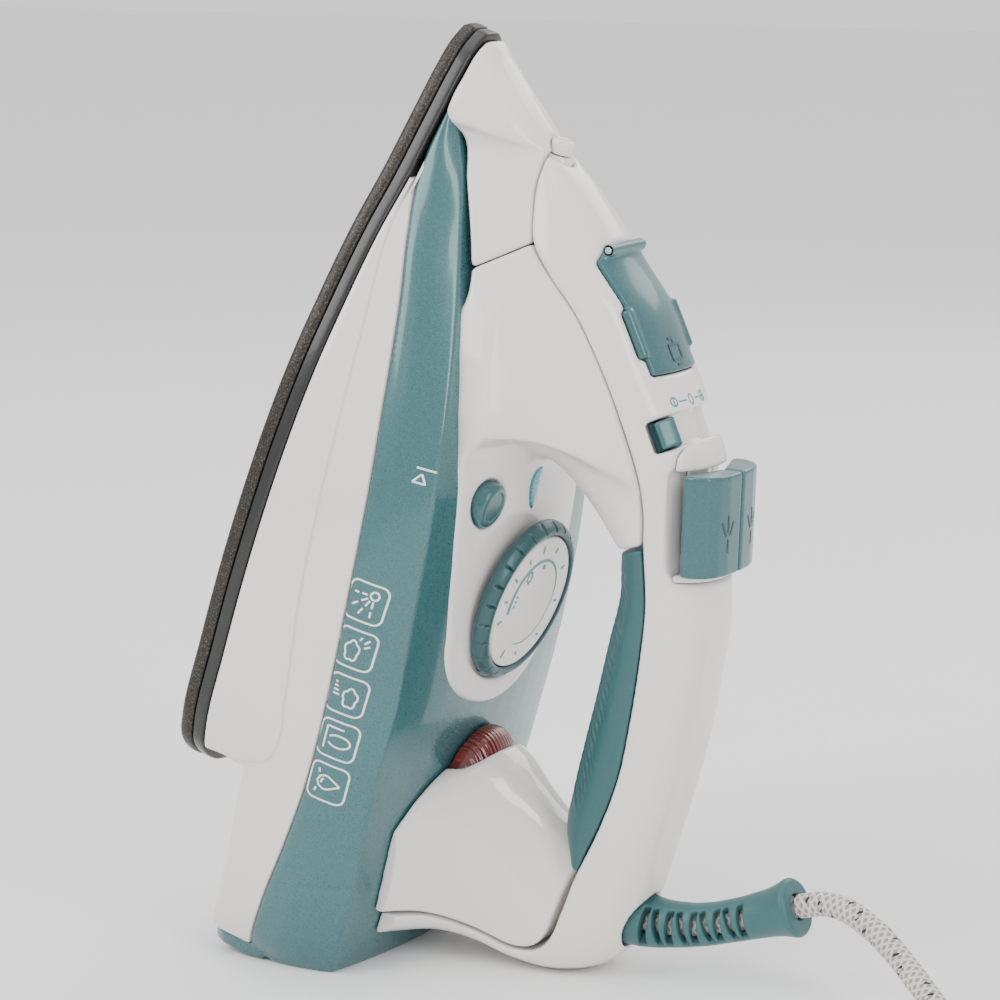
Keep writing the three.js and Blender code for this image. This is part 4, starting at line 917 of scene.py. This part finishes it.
def make_dial():
    turn = around(480)
    notch = np.clip(1 - np.abs(((turn / (2 * np.pi) * 24) % 1) - 0.5) / 0.09, 0, 1)
    notch = notch * notch * (3 - 2 * notch)
    steps = [(DIAL_R - 1.2, 71.0, 0), (DIAL_R - 0.3, 71.4, 0), (DIAL_R, 72.2, 0),
             (DIAL_R - 0.1, 73.4, 0.1), (DIAL_R - 0.3, 73.8, 0.8), (DIAL_R - 1.0, 75.0, 1),
             (DISC_R + 2.3, 75.9, 0.7), (DISC_R + 1.5, 76.2, 0.1), (DISC_R + 0.6, 76.1, 0),
             (DISC_R + 0.1, 75.6, 0), (DISC_R, 74.0, 0), (DISC_R - 3, 73.6, 0)]
    rings = []
    for radius, z, share in steps:
        r = radius - 1.5 * notch * share
        rings.append(np.stack([DIAL_X + r * np.cos(turn), r * np.sin(turn), np.full(480, z)], 1))
    finish(lofted("dial_ring_knurled", rings, "dial", sharp=50), "dial", "dial_teal", "dial_ring")
    disc = [(DISC_R - 0.35, 73.0), (DISC_R - 0.3, 75.3), (DISC_R - 0.6, 75.75), (DISC_R - 1.2, 75.95),
            (12, 76.05), (1, 76.1)]
    finish(turned("dial_disc_face", disc, Matrix.Translation((DIAL_X, 0, 0)), 128, "dial"),
           "white", "white_shell", "dial_disc", "dial_spindle")


def make_clean_button():
    x, y, z = CLEAN
    profile = [(7.1, 60.8), (7.15, z - 1.5), (6.9, z - 0.7), (6.3, z - 0.2), (5.6, z), (4.9, z - 0.05),
               (4.6, z - 0.35), (0.6, z - 0.4)]
    finish(turned("self_clean_key", profile, Matrix.Translation((x, y, 0)), 80, "clean"),
           "teal", "button_teal", "self_clean_button")
    rings = []
    over = Vector((0, 0, -1))
    for grow, lift in ((0, -1), (0, 0.2), (-0.4, 0.5), (-1.5, 0.7)):
        hits = [SKINS["dial_panel_skin"].ray_cast(Vector((a, b, 84)), over)[0]
                for a, b in leaf_outline(grow)]
        rings.append([(h.x, h.y, h.z + lift) for h in hits])
    # The pointer is of the tank's teal; its brighter leaf look is painted light.
    finish(lofted("dial_pointer_leaf", rings, sharp=50), "leaf", "tank_teal", "dial_pointer")


def lens_field(g):
    """The pilot lens: a half dome at the rear column's front tip, over the tank's roof."""
    r = np.sqrt((g.x - 6.5) ** 2 + (g.y * 0.98) ** 2 + ((g.z - 75.5) / 0.62) ** 2)
    return np.maximum((r - 17) * 0.8, np.maximum(roof(g.x, g.y) + 0.4 - g.z, 3 - g.x))


def make_lens():
    g = Grid((-2, -19, 70), (27, 19, 90), 0.35)
    lens = lens_field(g) + 0.12 + 0.16 * np.cos(2 * np.pi * g.y / 1.6)
    finish(g.mesh("pilot_lens_dome", soften(lens, 1)), "red", "red_lens", "pilot_lens")


def make_nozzle():
    along_x = Matrix.Translation((0, 0, NOZZLE_Z)) @ Matrix.Rotation(math.radians(90), 4, "Y")
    nozzle = [(0.5, 207.6), (0.9, 207.7), (1.4, 208.9), (1.8, 209.2), (2.7, 209.2), (3.2, 208.9),
              (3.5, 208.3), (3.5, 204.9), (0.5, 204.8)]
    finish(turned("spray_nozzle_tip", nozzle, along_x, 64), "white", "white_shell", "spray_nozzle")
    collar = [(2.1, 198.2), (4.5, 198.2), (4.5, 203.9), (4.1, 204.4), (2.1, 204.4)]
    finish(turned("nozzle_collar_ring", collar, along_x, 64), "white", "white_shell",
           "nozzle_collar")


# ---- cord --------------------------------------------------------------------------------
GUARD_PATH = [[-13.5, 136], [-10, 150], [-4, 163], [3.5, 174], [10.5, 183], [16.6, 190.6]]
GUARD_RADII = [8.8, 8.6, 7.4, 6.8, 6.6, 6.8, 7.4, 8.2]


def make_guard():
    g = Grid((-26, -11, 130), (28, 11, 198), 0.4)
    path = curve(GUARD_PATH, 120)
    total = lengths(path)
    px = np.broadcast_to(g.x, g.shape)[:, 0, :]
    pz = np.broadcast_to(g.z, g.shape)[:, 0, :]
    d = (px[..., None] - path[:, 0]) ** 2 + (pz[..., None] - path[:, 1]) ** 2
    k = np.clip(d.argmin(-1), 1, len(path) - 2)
    step = path[k + 1] - path[k - 1]
    step /= np.linalg.norm(step, axis=-1, keepdims=True)
    ex, ez = px - path[k, 0], pz - path[k, 1]
    s = (total[k] + ex * step[..., 0] + ez * step[..., 1])[:, None, :]
    up = (ex * step[..., 1] - ez * step[..., 0])[:, None, :]
    r = np.sqrt(up**2 + g.y**2)
    radius = np.interp(s, np.linspace(0, total[-1], len(GUARD_RADII)), GUARD_RADII)
    flare = np.clip((s - total[-1] + 11) / 9, 0, 1)
    radius = radius + 1.2 * flare**2 - 1.2 * np.clip((s - total[-1] + 1.6) / 1.6, 0, 1) ** 2
    tube_field = np.maximum(r - radius, np.maximum(-s, s - total[-1]))
    tube_field = cut(tube_field, r - GUARD_BORE)
    angle = np.degrees(np.arctan2(np.abs(g.y), up))
    for n in range(9):
        centre = 12 + 4.2 * n
        width = 1.0 if n % 2 else 1.15
        lean = (angle - 90) * 0.012 * (1 if n % 2 else -1)
        half = np.abs(s - centre - lean) - width
        arc = (np.abs(angle - 90) - 52) * 0.12
        tube_field = np.maximum(tube_field, -np.maximum(half, arc))
    finish(g.mesh("cord_guard_sleeve", soften(tube_field, 1)), "guard", "guard_teal", "cord_guard")
    inside = np.column_stack([path[:, 0], np.zeros(len(path)), path[:, 1]])
    world = np.array([IRON @ Vector(p) for p in inside])
    finish(tube("cord_in_guard", world[6:-3], 0.00355, 18), "braid", "textile")
    return world[-2] + (world[-1] - world[-2]) * 2


def coil_point(radius, degrees, z):
    a = math.radians(degrees)
    return (COIL_X + radius * math.cos(a) / 1000, radius * math.sin(a) / 1000, z / 1000)


def make_cord(start):
    route = [[113, -0.5, 33.2], [121, -2, 32.8], [131, -5, 29.2], [142, -10, 23.2],
             [154, -17, 15.8], [166, -25, 9.2], [178, -33, 5.1], [190, -40.5, 3.9],
             [201, -46, 3.85], [211.6, -49, 3.85]]
    points = [tuple(start), *[tuple(v / 1000 for v in p) for p in route]]
    low, high, top = 3.85, 11.35, 18.9  # the middle of the cord in each layer
    angle = [-90, 190, 260, 550, 620, 1120, 1195, 1480, 1555, 1715, 1775]
    radius = [49.5, 49.5, 42, 42, 34.5, 34.5, 42, 42, 49.5, 49.5, 42.1]
    rise = [[-90, 840, 910, 1655, 1715, 1775], [low, low, high, high, top, top]]
    for a in np.arange(-90, 1776, 15):
        points.append(coil_point(smooth_step(a, angle, radius), a, smooth_step(a, *rise)))
    tail = [[281.6, -7, 18.9], [282, 1, 19], [280.5, 9, 19.6], [276, 18, 20.8],
            [268, 26, 22.6], [258, 31.5, 24.8], [251, 33.9, 26.7], [244.6, 34, 27]]
    points += [tuple(v / 1000 for v in p) for p in tail]
    path = curve(points, 1500)
    cord = finish(tube("cord_braided", path, CORD_D / 2000, 14), "braid", "textile", "cord",
                  "cord_coil", "cord_tail")


def smooth_step(a, stops, values):
    """Straight stretches between stops, each eased at both ends."""
    k = min(int(np.searchsorted(stops, a, side="right")) - 1, len(stops) - 2)
    t = (a - stops[k]) / (stops[k + 1] - stops[k])
    t = min(max(t, 0), 1)
    return values[k] + (values[k + 1] - values[k]) * t * t * (3 - 2 * t)


# ---- printed and raised marks --------------------------------------------------------------
def arc(x, y, rx, ry, start, end, count=16):
    turn = np.radians(np.linspace(start, end, count))
    return [(x + rx * math.cos(a), y + ry * math.sin(a)) for a in turn]


def marks(name, lines, place, look, slot, body="iron", width=0.7):
    """Flat strips along lines of (u, v) points, or (u, v, width) ones, each laid by place."""
    points, faces = [], []
    for line in lines:
        rows = np.array([(*p, width)[:3] if len(p) == 2 else p for p in line], float)
        d = lengths(rows[:, :2])
        t = np.linspace(0, d[-1], max(2, int(d[-1] / 0.5) + 1))
        rows = np.stack([np.interp(t, d, rows[:, k]) for k in range(3)], 1)
        slope = np.gradient(rows[:, :2], axis=0)
        slope /= np.linalg.norm(slope, axis=1)[:, None]
        normal = np.stack([-slope[:, 1], slope[:, 0]], 1) * rows[:, 2:] / 2
        first = len(points)
        for spot, n in zip(rows[:, :2], normal):
            points += [place(*(spot + n)), place(*(spot - n))]
        for k in range(len(rows) - 1):
            a = first + 2 * k
            faces.append((a, a + 1, a + 3, a + 2))
    return finish(piece(name, points, faces, body), look, slot)


def laid_on(skin, start, toward, lift=0.07):
    """A function that drops (u, v) on a skin along a direction, from start(u, v)."""
    tree, toward = SKINS[skin], Vector(toward).normalized()

    def place(u, v):
        begin = Vector(start(u, v))
        hit = tree.ray_cast(begin, toward)[0]
        return (hit if hit else begin + toward * 30) - toward * lift
    return place


def rounded_frame(half, corner):
    e = half - corner
    corners = [(e, e), (-e, e), (-e, -e), (e, -e)]
    return [*[p for k, (x, y) in enumerate(corners)
              for p in arc(x, y, corner, corner, 90 * k, 90 * k + 90)], (half, e)]


def cloud(x, y, size):
    turn = np.linspace(0, 2 * np.pi, 60)
    puff = 1 + 0.28 * np.abs(np.sin(2.5 * turn))
    return [(x + size * p * math.cos(a), y + 0.7 * size * p * math.sin(a))
            for a, p in zip(turn, puff)]


def make_tank_icons():
    """Five generic pictograms in rounded frames: spray, steam, burst, upright steam, rinse."""
    spray = [arc(-2.8, 2.2, 1.3, 1.3, 0, 360), [(-1.0, 1.2), (1.0, 0.2)], [(2.0, -0.3), (4.0, -1.3)],
             [(-1.6, 0.4), (-0.2, -1.4)], [(0.5, -2.3), (1.9, -4.0)], [(-2.6, 0), (-2.5, -1.8)],
             [(-2.4, -2.8), (-2.3, -4.3)], [(-0.9, 2.2), (1.3, 2.3)], [(2.3, 2.3), (4.2, 2.4)]]
    steam = [cloud(0.8, -0.8, 2.7), [(-4, 3.8), (-2.6, 2.4)], [(-2.2, 4.2), (-1.2, 2.6)],
             [(-4.3, 1.4), (-3.2, 0.8)]]
    burst = [cloud(0.6, 1.4, 2.6), *[[(x, -4.2), (x, -3.4 + 0.45 * k)]
                                    for k, x in enumerate((-3.4, -2.1, -0.8, 0.5))]]
    upright = [arc(0.4, 0.6, 2.0, 3.6, -60, 240, 30), [(-3.8, -3.9), (3.8, -3.9)],
               [(-3.8, -3.9), (-3.8, 1.5)]]
    rinse = [[(0, 4), (-2.2, 0.2), (-2.3, -1.2), (-1.5, -2.7), (0, -3.4), (1.5, -2.7), (2.3, -1.2),
              (2.2, 0.2), (0, 4)], arc(0, -0.9, 1.1, 1.2, 200, 300), [(-4, -3.6), (-2.6, -3.2)],
             [(2.6, -3.2), (4, -3.6)]]
    spots = [(68.7, 50), (53.5, 51), (38.3, 52.3), (23.2, 53.4), (8.3, 53.8)]
    names = ["spray", "steam", "burst", "upright", "rinse"]
    for name, (x, z), icon in zip(names, spots, [spray, steam, burst, upright, rinse]):
        place = laid_on("tank_skin", lambda u, v, x=x, z=z: (x - u, 75, z + v), (0, -1, 0))
        marks(f"tank_icon_{name}", [rounded_frame(6.1, 2.4), *icon], place, "ink_white",
              "tank_teal", width=0.62)
    place = laid_on("tank_skin", lambda u, v: (u, 75, v), (0, -1, 0))
    level = [[(112.5, 50.5), (112.5, 56)], [(108.2, 50.8), (111, 52.6), (108.2, 54.4), (108.2, 50.8)]]
    marks("tank_level_line", level, place, "ink_white", "tank_teal", width=0.6)


def make_dial_marks():
    def place(u, v):
        return (DIAL_X + u, v, MARK_Z)

    def spoke(degrees, *radii):
        a = math.radians(degrees)
        return [(r * math.cos(a), r * math.sin(a)) for r in radii]

    scale = [(*spoke(a, 14.3)[0], 1.6 - 1.3 * min(k / 60, 1))
             for k, a in enumerate(np.linspace(95, -200, 90))]
    dashes = [spoke(a, 10.9, 12.1) for a in (86, 78, 70)]
    ticks = [spoke(a, 17.2, r) for a, r in (
        (100, 20), (78, 19), (55, 20), (30, 19), (5, 20), (-25, 19), (-60, 19), (-100, 18.6),
        (-140, 18.6), (-180, 18.6), (150, 20))]
    puff = [(9.8 + u, 6.2 + v) for u, v in cloud(0, 0, 1.6)]
    square = [(11.2, -1.6, 1.5), (12.6, -2.0, 1.5)]
    marks("dial_scale", [scale, *dashes, *ticks, puff, square], place, "ink_teal", "dial_teal",
          "dial", width=0.8)


def make_panel_marks():
    """A steam strength key over the lever, and raised marks on the cap and the buttons."""
    nx, nz = TOP["n"]
    place = laid_on("handle_shell_skin", lambda u, v: (150 + 60 * nx + u, v, 104 + 60 * nz),
                    (-nx, 0, -nz))
    key = [arc(0, 10.5, 1.3, 1.3, 0, 360), [(-1, 10.5), (1, 10.5)], [(0, 8.4), (0, 4.4)],
           cloud(0, 2, 1.3), [(0, -0.2), (0, -3.2)], arc(0, -5.6, 1.5, 1.5, 0, 360),
           [(-1, -5.6), (1, -5.6)], [(0, -6.8), (0, -4.4)]]
    marks("steam_key", key, place, "ink_teal", "white_shell", width=0.5)
    out = Vector((0.76, 0, 0.65))
    tap = [[(-2.6, -3), (-2.6, 3), (2, 3), (2, -3), (-2.6, -3)], [(2, 0), (4, 0), (4, 2.6)],
           [(-4.2, -1.4), (-4.2, 1.4)]]
    start = Vector((163.5, 0, 98.5)) + out * 30
    place = laid_on("filler_cap_skin", lambda u, v: start + Vector((0.65 * u, v, -0.76 * u)), -out,
                    0.25)
    marks("cap_mark", tap, place, "dial", "button_teal", "cap", width=0.8)
    for side, name, body in ((1, "spray_button", "spray"), (-1, "burst_button", "burst")):
        place = laid_on(f"{name}_key", lambda u, v, s=side: (119.5 + u, s * (8 + v), 160),
                        (0, 0, -1), 0.15)
        lines = [[(-6, 0), (-2, 0)], [(-1, 1), (3, 3)], [(-1, -1), (3, -3)], [(0, 0), (5, 0)]]
        marks(f"{name}_mark", lines, place, "dial", "button_teal", body, width=0.8)


make_tank()
make_skirt()
make_sole()
make_covers()
make_handle()
make_cap()
make_rear_column()
make_grip()
make_buttons()
make_lever()
make_dial()
make_clean_button()
make_lens()
make_nozzle()
make_cord(make_guard())
make_tank_icons()
make_dial_marks()
make_panel_marks()

HIDDEN_LOOKS = {"steel": "steel", "mould": "mould", "brass": "brass", "black_band": "black",
                "textile": "braid"}
slots = {row["node"]: row["material_slot"] for row in frame["record"]["subparts"]}
for node, obj in frame["nodes"].items():
    if not obj.hide_render:
        obj.data.materials.clear()
        obj.data.materials.append(LOOKS[HIDDEN_LOOKS.get(slots[node], "mould")])
